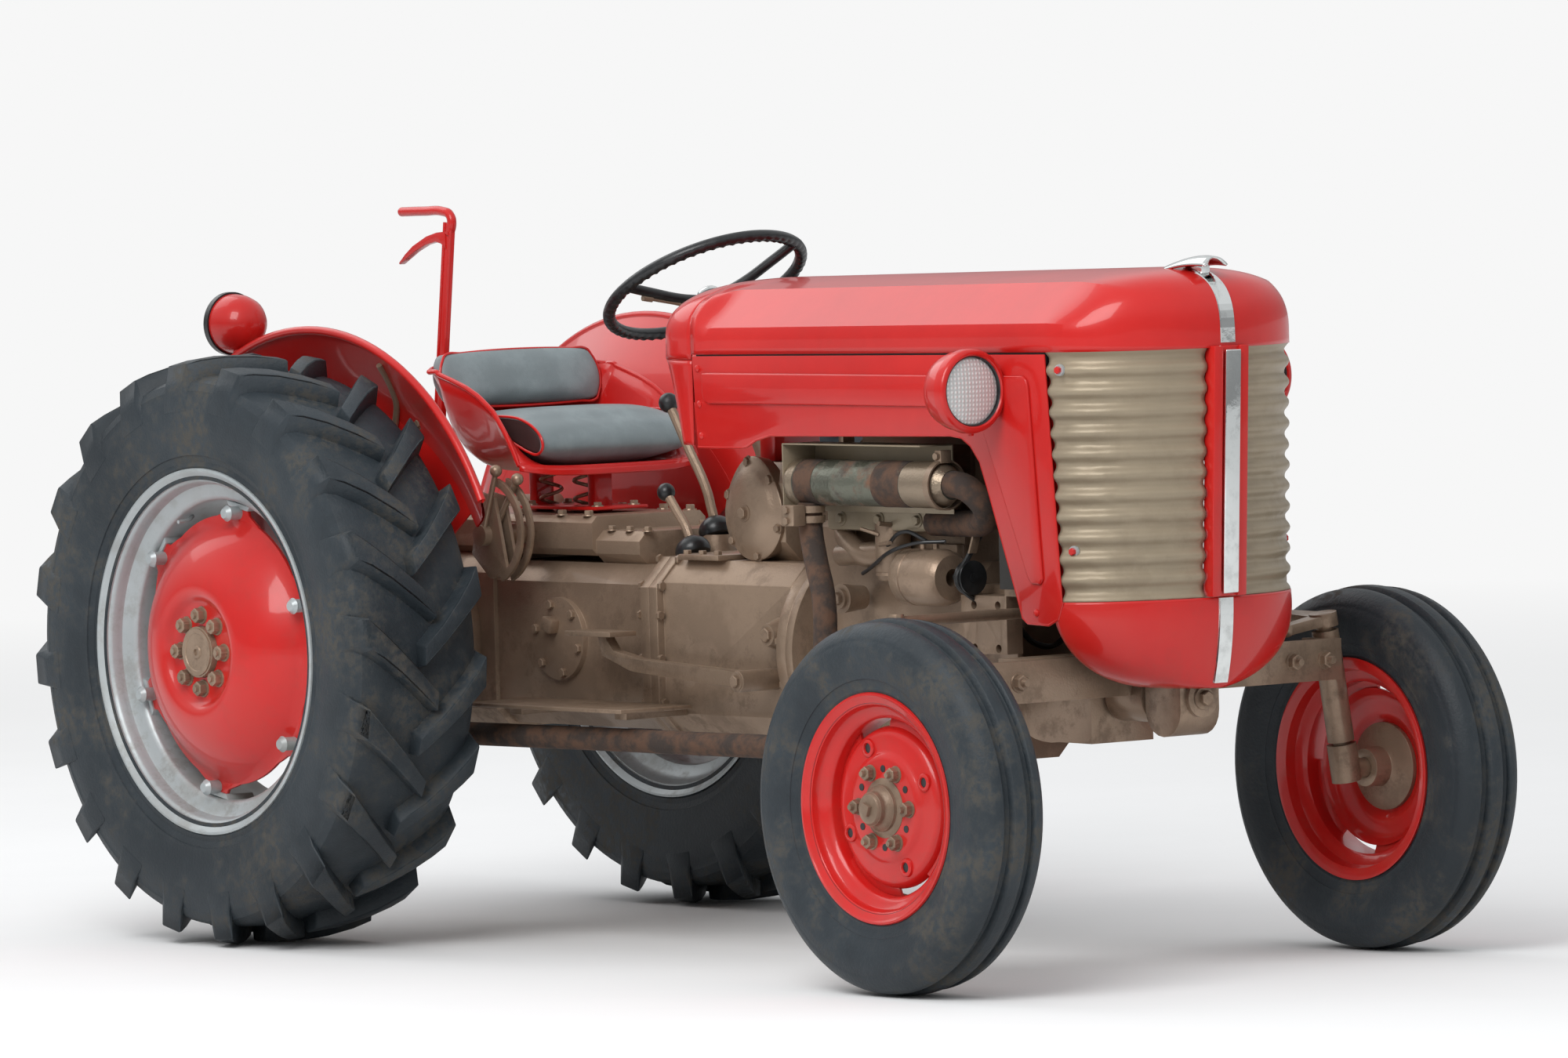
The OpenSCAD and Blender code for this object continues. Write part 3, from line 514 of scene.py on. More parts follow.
def fluted_glass(name, colour):
    """Lamp glass with a square pattern of small prisms pressed into it, its grooves painted darker as shade.
    """
    add, set_input, spot = shader_kit(name)
    across = add("ShaderNodeTexWave", {"Vector": spot, "Scale": 36.0}, bands_direction="Y")
    down = add("ShaderNodeTexWave", {"Vector": spot, "Scale": 36.0}, bands_direction="Z")
    cross = product(add, across.outputs["Fac"], down.outputs["Fac"])
    set_input("Normal", bumped(add, cross, 0.7, 1.5))
    # Darker in the pressed grooves: painted shade.
    set_input("Base Color", blend_colours(add, cross, [c * 0.62 for c in colour], colour))
    set_input("Metallic", 0.12)
    set_input("Roughness", 0.2)
    set_input("Coat Weight", 0.6)
    set_input("Coat Roughness", 0.05)


def finned_core(name, colour):
    """A radiator core of thin upright fins, the gaps between them painted darker as shade."""
    add, set_input, spot = shader_kit(name)
    fins = add("ShaderNodeTexWave", {"Vector": spot, "Scale": 60.0}, bands_direction="Y")
    # Darker between the fins: painted shade.
    set_input("Base Color", blend_colours(add, fins.outputs["Fac"], [c * 0.4 for c in colour], colour))
    set_input("Normal", bumped(add, fins.outputs["Fac"], 0.8, 2.0))
    set_input("Roughness", 0.7)


# Settings


def colour_setting(name, description, default):
    """A colour that a user may change."""
    return FloatVectorProperty(
        name=name, description=description, default=default, size=3, min=0.0, max=1.0, subtype="COLOR"
    )


def length_setting(name, description, default):
    """A length that a user may change."""
    return FloatProperty(name=name, description=description, default=default, min=0.0, unit="LENGTH")


def angle_setting(name, description, degrees):
    """An angle that a user may change."""
    return FloatProperty(name=name, description=description, default=math.radians(degrees), subtype="ANGLE")


class TractorColours(bpy.types.PropertyGroup):
    """Colours of the paint and the other finishes."""

    red: colour_setting("Red", "Paint of the hood, fenders, seat pan and wheels", (0.56, 0.012, 0.01))
    bronze: colour_setting("Bronze", "Paint of the castings and the axle", (0.33, 0.237, 0.168))
    beige: colour_setting("Beige", "Paint of the grille panels", (0.33, 0.27, 0.19))
    silver: colour_setting("Silver", "Paint of the rear rims", (0.46, 0.5, 0.51))
    rubber: colour_setting("Rubber", "Rubber of the tyres", (0.02, 0.026, 0.031))
    soil: colour_setting("Soil", "Dust and dried soil", (0.16, 0.125, 0.08))
    vinyl: colour_setting("Vinyl", "Covers of the seat pads", (0.19, 0.225, 0.235))
    black: colour_setting("Black", "Knobs, boots and the steering wheel", (0.011, 0.012, 0.013))
    chrome: colour_setting("Chrome", "Trim strips", (0.76, 0.78, 0.77))
    steel: colour_setting("Steel", "Bare steel of the muffler", (0.16, 0.165, 0.13))
    rust: colour_setting("Rust", "Rust on the exhaust", (0.17, 0.09, 0.055))


class TractorWheels(bpy.types.PropertyGroup):
    """Sizes of the tyres and wheels."""

    lugs: IntProperty(
        name="Lugs", description="Lugs on each side of a rear tyre", default=20, min=8, max=32
    )
    lug_lean: angle_setting("Lug lean", "Angle round the wheel from a lug's inner end to its shoulder", 15)
    rear_radius: length_setting("Rear radius", "Radius over the lugs", 0.615)
    front_radius: length_setting("Front radius", "Radius over the middle rib", 0.365)


class TractorBodywork(bpy.types.PropertyGroup):
    """Sizes of the hood, the grille and the fenders."""

    nose_length: length_setting("Nose length", "Length of the rounded nose", 0.209)
    ridges: IntProperty(name="Ridges", description="Ridges in each grille panel", default=12, min=4, max=24)
    ridge_depth: length_setting("Ridge depth", "Depth of the grille's ridges", 0.010)
    sheet: length_setting("Sheet", "Thickness of the sheet metal", 0.004)


class TractorStudio(bpy.types.PropertyGroup):
    """Camera and light."""

    azimuth: angle_setting("Azimuth", "Camera angle round the tractor", 51.265)
    elevation: angle_setting("Elevation", "Camera angle above the floor", 2.547)
    roll: angle_setting("Roll", "Camera lean about its own axis", -1.54)
    distance: length_setting("Distance", "From the camera to its target", 21.48574)
    target: FloatVectorProperty(
        name="Target",
        description="Place that the camera looks at",
        default=(0.16056, -0.005406, 0.852169),
        size=3,
        subtype="TRANSLATION",
    )
    lens: FloatProperty(name="Lens", description="Focal length in millimetres", default=241.387, min=1.0)
    sky: FloatProperty(name="Sky", description="Strength of the light from all round", default=0.6, min=0.0)
    key: FloatProperty(
        name="Key", description="Power of the main soft light in watts", default=480.0, min=0.0
    )


# Pieces


class TRACTOR_OT_finishes(bpy.types.Operator):
    """Make the finishes that the pieces use."""

    bl_idname = "tractor.finishes"
    bl_label = "Finishes"

    def execute(self, context):
        tint = context.scene.tractor_colours
        soil = tuple(tint.soil)
        steel = tuple(tint.steel)
        rust = tuple(tint.rust)
        dull_rust = tuple(c * 0.62 for c in rust)
        painted("red_paint", tint.red, 0.0, 0.32, 0.5, 55.0, 0.05, 0.16, (0.2, 0.06, 0.04))
        painted("bronze_paint", tint.bronze, 0.45, 0.34, 0.1, 230.0, 0.55, 0.55, (0.08, 0.05, 0.032))
        painted("beige_paint", tint.beige, 0.3, 0.42, 0.1, 260.0, 0.25, 0.35, (0.15, 0.105, 0.065))
        painted("silver_paint", tint.silver, 0.4, 0.4, 0.1, 180.0, 0.15, 0.4, soil)
        rubber("tyre_rubber", tuple(tint.rubber), tuple(c * 0.8 + 0.015 for c in tint.soil))
        bright_metal("chrome", tuple(tint.chrome), 0.06)
        grained_vinyl("vinyl", tuple(tint.vinyl))
        # The seat pad's two sides are painted dark, as shade.
        grained_vinyl("vinyl_shaded_sides", tuple(tint.vinyl), (0.04, 0.026, 0.025))
        moulded("black_plastic", tuple(tint.black), 0.3)
        scaled_steel("rusty_steel", steel, (0.07, 0.055, 0.045), rust, 0.5)
        scaled_steel("rusted_pipe", steel, (0.045, 0.032, 0.026), dull_rust, 0.22)
        scaled_steel("heated_steel", (0.3, 0.235, 0.17), (0.13, 0.09, 0.065), rust, 0.56)
        fluted_glass("lens_glass", (0.8, 0.83, 0.82))
        finned_core("dark_core", (0.035, 0.033, 0.03))
        return {"FINISHED"}


REAR_CARCASS = (
    (132.7, 357.5), (133, 376), (139, 386), (137.5, 395), (143, 408), (146, 409), (146.5, 413),
    (146, 417), (150, 436), (155, 470), (156.5, 500), (154, 528), (150, 540), (150.5, 543),
    (149, 547), (143, 560), (124, 570), (90, 575), (45, 578), (0, 579),
)
LUG_STATIONS = (
    # across, lowest radius, drop of the top below the tyre's radius, half width at the top and at the foot
    (-18, 570, 3, 19, 27),
    (30, 570, 0, 21, 29),
    (80, 566, 2, 24, 32),
    (120, 556, 8, 28, 37),
    (146, 538, 15, 32, 42),
    (157, 500, 66, 28, 42),
)


class TRACTOR_OT_rear_tyres(bpy.types.Operator):
    """Model the rear tyres with their leaning lugs."""

    bl_idname = "tractor.rear_tyres"
    bl_label = "Rear tyres"

    def lug(self, bm, centre, sizes):
        """One lug on the left half of a tyre."""
        sections = []
        inner, outer = LUG_STATIONS[0][0], LUG_STATIONS[-1][0]
        for across, foot, drop, half_top, half_foot in LUG_STATIONS:
            lead = -sizes.lug_lean * (across - inner) / (outer - inner)
            top = sizes.rear_radius / MM - drop
            section = []
            for radius, half in ((foot, half_foot), (top, half_top), (top, -half_top), (foot, -half_foot)):
                angle = lead + half / radius
                reach = radius * math.cos(half / radius) if radius > foot else radius
                spot = Vector((reach * math.cos(angle), across, -reach * math.sin(angle)))
                section.append(centre + spot * MM)
            sections.append(section)
        before = set(bm.verts)
        swept(bm, sections)
        bm.normal_update()
        links = {link for vert in set(bm.verts) - before for link in vert.link_edges}
        soften(bm, sharp_edges(links, 25), 3.5)
        new = set(bm.verts) - before
        return list(new | {e for v in new for e in v.link_edges} | {f for v in new for f in v.link_faces})

    def execute(self, context):
        sizes = context.scene.tractor_wheels
        profile = [(-along, radius) for along, radius in REAR_CARCASS] + list(reversed(REAR_CARCASS))[1:]
        pitch = math.tau / sizes.lugs
        for side, name in SIDES:
            centre = Vector((REAR_X, side * REAR_HUB.y, sizes.rear_radius))
            bm = bmesh.new()
            spun(bm, profile, centre, LEFT, steps=120)
            first = self.lug(bm, centre, sizes)
            turned_over = bmesh.ops.duplicate(bm, geom=first)["geom"]
            verts = verts_in(turned_over)
            bmesh.ops.scale(bm, vec=(1, -1, 1), verts=verts, space=Matrix.Translation(-centre))
            bmesh.ops.rotate(bm, verts=verts, cent=centre, matrix=Matrix.Rotation(pitch / 2, 3, "Y"))
            for index in range(1, sizes.lugs):
                copy = bmesh.ops.duplicate(bm, geom=first + turned_over)["geom"]
                turn = Matrix.Rotation(pitch * index, 3, "Y")
                bmesh.ops.rotate(bm, verts=verts_in(copy), cent=centre, matrix=turn)
            stands_for = (f"rear_tyre_{name}",)
            piece(bm, f"rear_tyre_{name}_tread", f"rear_wheel_{name}", "tyre_rubber", None, stands_for, 28)
        return {"FINISHED"}


REAR_RIM = (
    (133, 378), (136, 382), (140, 381), (141.5, 376), (138, 370), (131, 364), (127, 355),
    (120, 350), (106, 348.5), (99, 346), (93, 337), (89, 324), (84, 316), (78, 313), (-78, 313),
    (-84, 316), (-93, 337), (-106, 348.5), (-127, 355), (-131, 364), (-141, 376), (-140, 381),
    (-133, 378), (-131, 357), (-98, 355), (-84, 323), (84, 323), (98, 355), (131, 357),
)
REAR_DISH = (
    (139.5, 54), (139.5, 100), (142, 107), (150, 113), (156, 121), (158, 132), (156.5, 146),
    (150, 170), (140, 194), (126, 217), (108, 238), (90, 256), (78, 268), (73, 281), (66, 281),
    (71, 265), (83, 251), (101, 233), (118, 212), (132, 190), (142, 167), (148, 145), (149, 134),
    (146, 127), (140, 120), (133, 110), (131, 100), (131, 54),
)
RIM_BOLT_ANGLES = tuple(80 + 60 * index for index in range(6))
RIM_BOLT_RADIUS = 291
RIM_PAD = ((311, -42), (311, 42), (300, 34), (300, -34))
DISH_EAR = ((262, -92), (279, -60), (290, -36), (307, -28), (307, 28), (290, 36), (279, 60), (262, 92))
HUB_FACE = ((-4, 51), (3, 49), (3, 40), (1, 38), (1, 15), (4, 13), (4, 7), (-3, 5), (-3, 0))
VALVE_ANGLE = 118
VALVE_STEM = ((312, 50), (304, 62), (300, 92))
STUD_RADIUS = 76.2


class TRACTOR_OT_rear_wheels(bpy.types.Operator):
    """Model the rear rims, their red dishes and the bolts that join them."""

    bl_idname = "tractor.rear_wheels"
    bl_label = "Rear wheels"

    def spot(self, side, centre, angle, radius, across, along=0.0):
        """A place on a wheel from an angle, a radius, a distance across and one out along the axle."""
        turn = math.radians(angle)
        out = Vector((math.cos(turn), 0, math.sin(turn) * -side))
        over = Vector((-math.sin(turn), 0, math.cos(turn) * -side))
        return centre + (out * radius + over * across + LEFT * side * along) * MM

    def execute(self, context):
        for side, name in SIDES:
            body = f"rear_wheel_{name}"
            centre = Vector((REAR_X, side * REAR_HUB.y, REAR_HUB.z))
            axle = LEFT * side
            bm = bmesh.new()
            spun(bm, REAR_RIM, centre, axle, 120)
            for angle in RIM_BOLT_ANGLES:
                pad = [self.spot(side, centre, angle, radius, across, 8) for radius, across in RIM_PAD]
                plate(bm, pad, axle * 70 * MM, 2)
                foot, neck, tip = (
                    self.spot(side, centre, angle, RIM_BOLT_RADIUS, 0, along) for along in (66, 104, 113)
                )
                drum(bm, foot, neck, 14, 14, 24)
                drum(bm, neck, tip, 17, 10, 24)
            valve = [self.spot(side, centre, VALVE_ANGLE, radius, 0, along) for radius, along in VALVE_STEM]
            tube(bm, valve, 4)
            piece(bm, f"rear_rim_{name}_barrel", body, "silver_paint", None, (f"rear_rim_{name}",))

            bm = bmesh.new()
            spun(bm, REAR_DISH, centre, axle, 120)
            for angle in RIM_BOLT_ANGLES:
                outline = [self.spot(side, centre, angle, radius, across, 66) for radius, across in DISH_EAR]
                plate(bm, outline, axle * 8 * MM, 1.5)
            piece(bm, f"rear_dish_{name}", body, "red_paint", None, (f"rear_disc_{name}",))

            cast_copy(f"rear_hub_{name}", "bronze_paint", 1.5)
            bm = bmesh.new()
            spun(bm, HUB_FACE, centre + axle * 154 * MM, axle, 48, ring=False)
            nuts = ring_places(centre + axle * 139.5 * MM, LEFT, STUD_RADIUS, 8)
            bolt_heads(bm, nuts, axle, 15.5, 17, 19)
            for place in ring_places(centre + axle * 155 * MM, LEFT, STUD_RADIUS, 8):
                drum(bm, place, place + axle * 9 * MM, 8, 6.5, 16)
            piece(bm, f"rear_nuts_{name}", body, "bronze_paint")
        return {"FINISHED"}


FRONT_TREAD = (
    (58.7, 203.6), (59, 222), (64, 230), (63, 236), (69, 250), (71, 251), (71.5, 255), (74, 262),
    (80, 284), (82.3, 305), (80, 322), (78, 325), (78, 328), (75, 335), (69, 345), (62, 352),
    (55, 357), (46, 359.5), (40, 360), (37.5, 358), (35.5, 350), (32, 347.5), (23, 348), (19, 350),
    (16, 360), (13.5, 363.5), (6, 364.8), (0, 365),
)
FRONT_RIM = (
    (59.5, 222), (62, 225), (65.5, 223), (66, 219), (62, 214), (60, 206), (56, 201), (44, 198),
    (40, 195), (36, 184), (31, 176), (26, 173), (-26, 173), (-34, 180), (-40, 195), (-60, 200),
    (-65, 214), (-65.5, 223), (-59.5, 222), (-58.5, 203), (-42, 201), (-28, 178.5), (28, 178.5),
    (42, 201), (58.5, 203),
)
FRONT_DISH = (
    (40, 46), (40, 92), (39, 99), (34, 105), (30, 112), (30, 138), (28, 146), (23, 152), (14, 156),
    (8, 158), (3, 158), (9, 152), (17, 147), (22, 141), (23.5, 134), (23.5, 112), (27, 102),
    (32, 97), (34, 90), (34, 46),
)
DISH_SKIRT = ((14, 155.5), (12, 164), (8, 173.5), (2, 173.5), (6, 164), (8, 155.5))
DISH_BOSS = ((-2, 19), (4, 17), (6, 14), (6, 11), (4, 9.5), (-3, 9))
BOSS_RADIUS = 125
HUB_CAP = (
    (34, 60), (41, 58), (45, 50), (46, 46), (53, 44), (60, 36), (64, 33), (75, 32), (80, 28), (82, 14),
    (82, 0),
)


class TRACTOR_OT_front_tyres(bpy.types.Operator):
    """Model the ribbed front tyres."""

    bl_idname = "tractor.front_tyres"
    bl_label = "Front tyres"

    def execute(self, context):
        radius = context.scene.tractor_wheels.front_radius
        profile = [(-along, reach) for along, reach in FRONT_TREAD] + list(reversed(FRONT_TREAD))[1:]
        for side, name in SIDES:
            centre = Vector((FRONT_HUB.x, side * FRONT_HUB.y, radius))
            bm = bmesh.new()
            spun(bm, profile, centre, LEFT, 120)
            stands_for = (f"front_tyre_{name}",)
            piece(bm, f"front_tyre_{name}_ribs", f"front_wheel_{name}", "tyre_rubber", None, stands_for, 40)
        return {"FINISHED"}


class TRACTOR_OT_front_wheels(bpy.types.Operator):
    """Model the red front wheels, their nuts and their hub caps."""

    bl_idname = "tractor.front_wheels"
    bl_label = "Front wheels"

    def execute(self, context):
        for side, name in SIDES:
            body = f"front_wheel_{name}"
            centre = Vector((FRONT_HUB.x, side * FRONT_HUB.y, FRONT_HUB.z))
            axle = LEFT * side
            bm = bmesh.new()
            spun(bm, FRONT_RIM, centre, axle, 96)
            spun(bm, FRONT_DISH, centre, axle, 96)
            for quarter in range(4):
                spun(bm, DISH_SKIRT, centre, axle, 16, 37 + 90 * quarter, 56)
            close_ends(bm)
            for place in ring_places(centre + axle * 30 * MM, LEFT, BOSS_RADIUS, 4, 65):
                spun(bm, DISH_BOSS, place, axle, 28)
            piece(bm, f"front_wheel_{name}_disc", body, "red_paint", None, (f"front_wheel_{name}",))

            # Black discs on the dish where its holes are: painted shade seen through them.
            bm = bmesh.new()
            for place in ring_places(centre + axle * 30.6 * MM, LEFT, BOSS_RADIUS, 4, 65):
                drum(bm, place, place + axle * 1.2 * MM, 9.6, 9.6, 24)
            for place in ring_places(centre + axle * 40.2 * MM, LEFT, STUD_RADIUS, 6, 30):
                drum(bm, place, place + axle * 0.8 * MM, 7, 7, 20)
            piece(bm, f"front_wheel_{name}_holes", body, "black_plastic")

            cast_copy(f"front_hub_{name}", "bronze_paint", 1.2)
            bm = bmesh.new()
            spun(bm, HUB_CAP, centre, axle, 48, ring=False)
            plug = centre + axle * 80 * MM
            half = Vector((11, 11, 11)) * MM
            block(bm, plug - half, plug + half, 2.5, Matrix.Rotation(math.radians(22), 4, "Y"))
            seats = ring_places(centre + axle * 40 * MM, LEFT, STUD_RADIUS, 6)
            bolt_heads(bm, seats, axle, 14, 15, 17)
            for place in seats:
                drum(bm, place + axle * 16 * MM, place + axle * 25 * MM, 7, 5.5, 16)
            piece(bm, f"front_cap_{name}", body, "bronze_paint")
        return {"FINISHED"}


COWL_DEPTH = 122
# Places across, heights and radii of the dials
DIALS = ((-95, 1262, 38), (0, 1268, 46), (95, 1262, 38), (-165, 1250, 24), (165, 1250, 24))
# Half the width of the chrome strips
STRIP_HALF = 19


def strip_section(mid, out, taper, sink, rise):
    """A chrome strip's section on a surface that faces out, with sink and rise in millimetres."""
    half = LEFT * STRIP_HALF * MM
    foot = out * (sink * MM)
    top = out * (rise * MM)
    return [mid + half - foot, mid + half * taper + top, mid - half * taper + top, mid - half - foot]


class TRACTOR_OT_hood(bpy.types.Operator):
    """Model the hood, the cowl behind it and its chrome."""

    bl_idname = "tractor.hood"
    bl_label = "Hood"

    straight = 0.6

    def arch(self, v, flat):
        """Half width and height of the hood's section as parts of the whole; flat shapes the shoulder."""
        side = 1 if v > 0.5 else -1
        t = 1 - abs(v - 0.5) * 2
        if t < 0.124:
            return side, (0.27 + 0.08 * flat) * t / 0.125
        k = max(0.0, (t - 0.125) / 0.875)
        angle = k * math.pi / 2
        round_y, round_z = math.cos(angle) ** 0.74, 0.27 + 0.73 * math.sin(angle) ** 0.74
        top = 3 / 7
        if k < top:
            flat_y, flat_z = 0.99 - 0.28 * k / top, 0.36 + 0.5 * k / top
        else:
            turn = (k - top) / (1 - top) * math.pi / 2
            flat_y, flat_z = 0.71 * (1 - (k - top) / (1 - top)), 0.86 + 0.14 * math.sin(turn)
        y = round_y * (1 - flat) + flat_y * flat
        z = round_z * (1 - flat) + flat_z * flat
        return side * y, z

    def hood_place(self, u, v):
        """A place on the hood from its length and its girth."""
        low, high = self.low, self.high
        nose = self.nose
        start = high.x - nose
        rise = high.z - low.z - 20 * MM
        if u < self.straight:
            k = u / self.straight
            y, z = self.arch(v, ease(k / 0.06))
            seam = low.z + (10 + 10 * k) * MM
            return Vector((low.x + (start - low.x) * k, y * high.y, seam + z * (rise - 8 * MM * (1 - k))))
        angle = (u - self.straight) / (1 - self.straight) * math.pi / 2
        y, z = self.arch(v, ease(1 - angle / 0.9))
        fall = max(0.0, 1 - math.sin(angle) ** 3.5) ** (1 / 3.5)
        x = start + nose * math.sin(angle)
        return Vector((x, y * high.y * math.cos(angle), low.z + 20 * MM + z * rise * fall))

    def cowl_place(self, u, v):
        """A place on the cowl behind the hood; u runs from its rounded rear edge to the hood."""
        low, high = self.low, self.high
        turn = math.pi / 2 * (1 - u)
        pull = 1 - math.cos(turn)
        y, z = self.arch(v, 0)
        rise = high.z - low.z - 19 * MM - 34 * MM * pull
        back = low.x - (2 + COWL_DEPTH * math.sin(turn)) * MM
        return Vector((back, y * (high.y - 1 * MM - 40 * MM * pull), low.z + z * rise))

    def execute(self, context):
        sizes = context.scene.tractor_bodywork
        self.low, self.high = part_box("hood")
        self.nose = sizes.nose_length
        bm = bmesh.new()
        shell(bm, 110, 64, self.hood_place)
        hood = piece(bm, "hood_shell", "chassis", "red_paint", None, ("hood",), 24)
        thicken(hood, sizes.sheet / MM)

        bm = bmesh.new()
        shell(bm, 14, 56, self.cowl_place)
        ends = [edge for edge in bm.edges if edge.is_boundary]
        rear = min(vert.co.x for vert in bm.verts)
        back = [edge for edge in ends if all(vert.co.x < rear + 0.5 * MM for vert in edge.verts)]
        bmesh.ops.holes_fill(bm, edges=back, sides=0)
        cowl = piece(bm, "cowl_shell", "chassis", "red_paint", None, ("dash_cowl",), 50)
        thicken(cowl, sizes.sheet / MM)
        self.cowl_sides(sizes.sheet)
        self.instruments()
        self.chrome()
        return {"FINISHED"}

    def cowl_sides(self, sheet):
        """Side plates of the cowl, which taper down to the panels, and its foot."""
        low, high = self.low, self.high
        bm = bmesh.new()
        for side, _ in SIDES:

            def place(u, v, side=side):
                turn = math.pi / 2 * (1 - u)
                taper = 1 - 0.6 * v**0.8
                back = low.x - (2 + COWL_DEPTH * math.sin(turn) * taper) * MM
                across = high.y - (2.5 + 40 * (1 - math.cos(turn)) * taper) * MM
                return Vector((back, side * across, low.z - (1 + 172 * v) * MM))

            shell(bm, 12, 16, place)
        thicken(piece(bm, "cowl_sides", "chassis", "red_paint", angle=50), sheet / MM)
        bm = bmesh.new()
        block(bm, at(1010, -60, 993.3), at(1060, 60, 1209), 4)
        dash = ((-272, 1209), (272, 1209), (250, 1120), (-250, 1120))
        plate(bm, [at(1004, y, z) for y, z in dash], AHEAD * 4 * MM, 1)
        piece(bm, "cowl_foot", "chassis", "red_paint")
        bm = bmesh.new()
        # A black strip behind the seam between the hood and each side panel: painted shade seen through the
        # gap.
        for side, _ in SIDES:
            block(bm, at(1092, side * 280 - 4, 1176), at(2186, side * 280 + 4, 1244), 1)
        piece(bm, "seam_shade_liner", "chassis", "black_plastic")

    def instruments(self):
        """Dials on the cowl's rear face."""
        bm = bmesh.new()
        faces = bmesh.new()
        for across, up, radius in DIALS:
            centre = at(1084 - 2.5 - COWL_DEPTH, across, up)
            rim = ((-1, radius), (5, radius), (7, radius - 3), (6, radius - 5), (2, radius - 6))
            spun(bm, rim, centre, -AHEAD, 40, ring=False)
            drum(faces, centre, centre - AHEAD * 2.2 * MM, radius - 4, radius - 4, 40)
        piece(bm, "dial_rims", "chassis", "chrome")
        piece(faces, "dial_faces", "chassis", "black_plastic")

    def chrome(self):
        """The strip over the nose and the winged ornament on top of it."""
        bm = bmesh.new()
        sections = []
        for step in range(9, 25):
            u = min(self.straight + 0.4 * step / 24, 0.9985)
            angle = (u - self.straight) / (1 - self.straight) * math.pi / 2
            out = Vector((math.sin(angle) ** 2, 0, math.cos(angle) ** 2)).normalized()
            sections.append(strip_section(self.hood_place(u, 0.5), out, 0.9, 2.2, 2.4))
        swept(bm, sections)
        piece(bm, "hood_strip", "chassis", "chrome", angle=50)

        bm = bmesh.new()

        def wing(u, v):
            across = (v - 0.5) * 2
            reach = abs(across)
            x = 2276 + 88 * u - 26 * reach * (1 - u) + 6 * reach * u
            z = 1407 - 17 * reach**2.2 - 10 * (1 - u) ** 2 + 3 * math.sin(u * math.pi)
            return at(x, across * (30 + 12 * (1 - u)), z)

        shell(bm, 14, 20, wing)
        ornament = piece(bm, "hood_wing", "chassis", "chrome", angle=60)
        thicken(ornament, 5)
        bm = bmesh.new()
        block(bm, at(2280, -12, 1372), at(2340, 12, 1402), 5)
        piece(bm, "hood_wing_foot", "chassis", "chrome")


PANEL_EDGE = (
    (1086, 1217), (1098, 1034), (1236, 1034), (1256, 1037), (1285, 1050), (1330, 1060),
    (1895, 1066), (1930, 1062), (1958, 1046), (1985, 1015), (2010, 955), (2095, 735), (2103, 712),
    (2118, 702), (2180, 700), (2208, 712), (2222, 745), (2188, 1226),
)
PANEL_RAISED = (
    (1122, 1184), (1122, 1144), (1125, 1133), (1132, 1125), (1143, 1121), (1925, 1121),
    (1950, 1117), (1975, 1104), (2003, 1075), (2034, 1005), (2128, 790), (2138, 779), (2164, 778),
    (2172, 788), (2142, 1164), (2138, 1177), (2126, 1184),
)
PANEL_SCREWS = ((1104, 1192), (1108, 1120), (1112, 1056), (2146, 722))
SCREW_HEAD = ((0, 7.5), (2, 7), (4, 4), (4.6, 0))


class TRACTOR_OT_side_panels(bpy.types.Operator):
    """Model the side panels with their raised strip."""

    bl_idname = "tractor.side_panels"
    bl_label = "Side panels"

    def execute(self, context):
        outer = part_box("side_panels")[1].y / MM
        bm = bmesh.new()
        for side, _ in SIDES:
            inward = LEFT * side * -4.5 * MM
            plate(bm, [at(x, side * outer, z) for x, z in PANEL_EDGE], inward, 1.8)
            raised = [at(x, side * (outer + 6.5), z) for x, z in PANEL_RAISED]
            plate(bm, raised, inward * 1.8, 5.0, 3)
            block(bm, at(2160, side * 268 - 3, 750), at(2216, side * 268 + 3, 1212), 1)
            for x, z in PANEL_SCREWS:
                spun(bm, SCREW_HEAD, at(x, side * outer, z), LEFT * side, 20, ring=False)
            edge = [at(x, side * (outer - 3), z) for x, z in PANEL_EDGE[1:-1]]
            tube(bm, edge, 3.2, straight=True, roundness=2)
        piece(bm, "side_sheets", "chassis", "red_paint", None, ("side_panels",), 40)
        return {"FINISHED"}


# First angle and sweep of a grille panel round the nose, in degrees
GRILLE_FROM = 9.6
GRILLE_SWEEP = 80.2
# Front of the grille post at its top and how far its foot stands back
POST_FRONT = 2411
POST_LEAN = 25


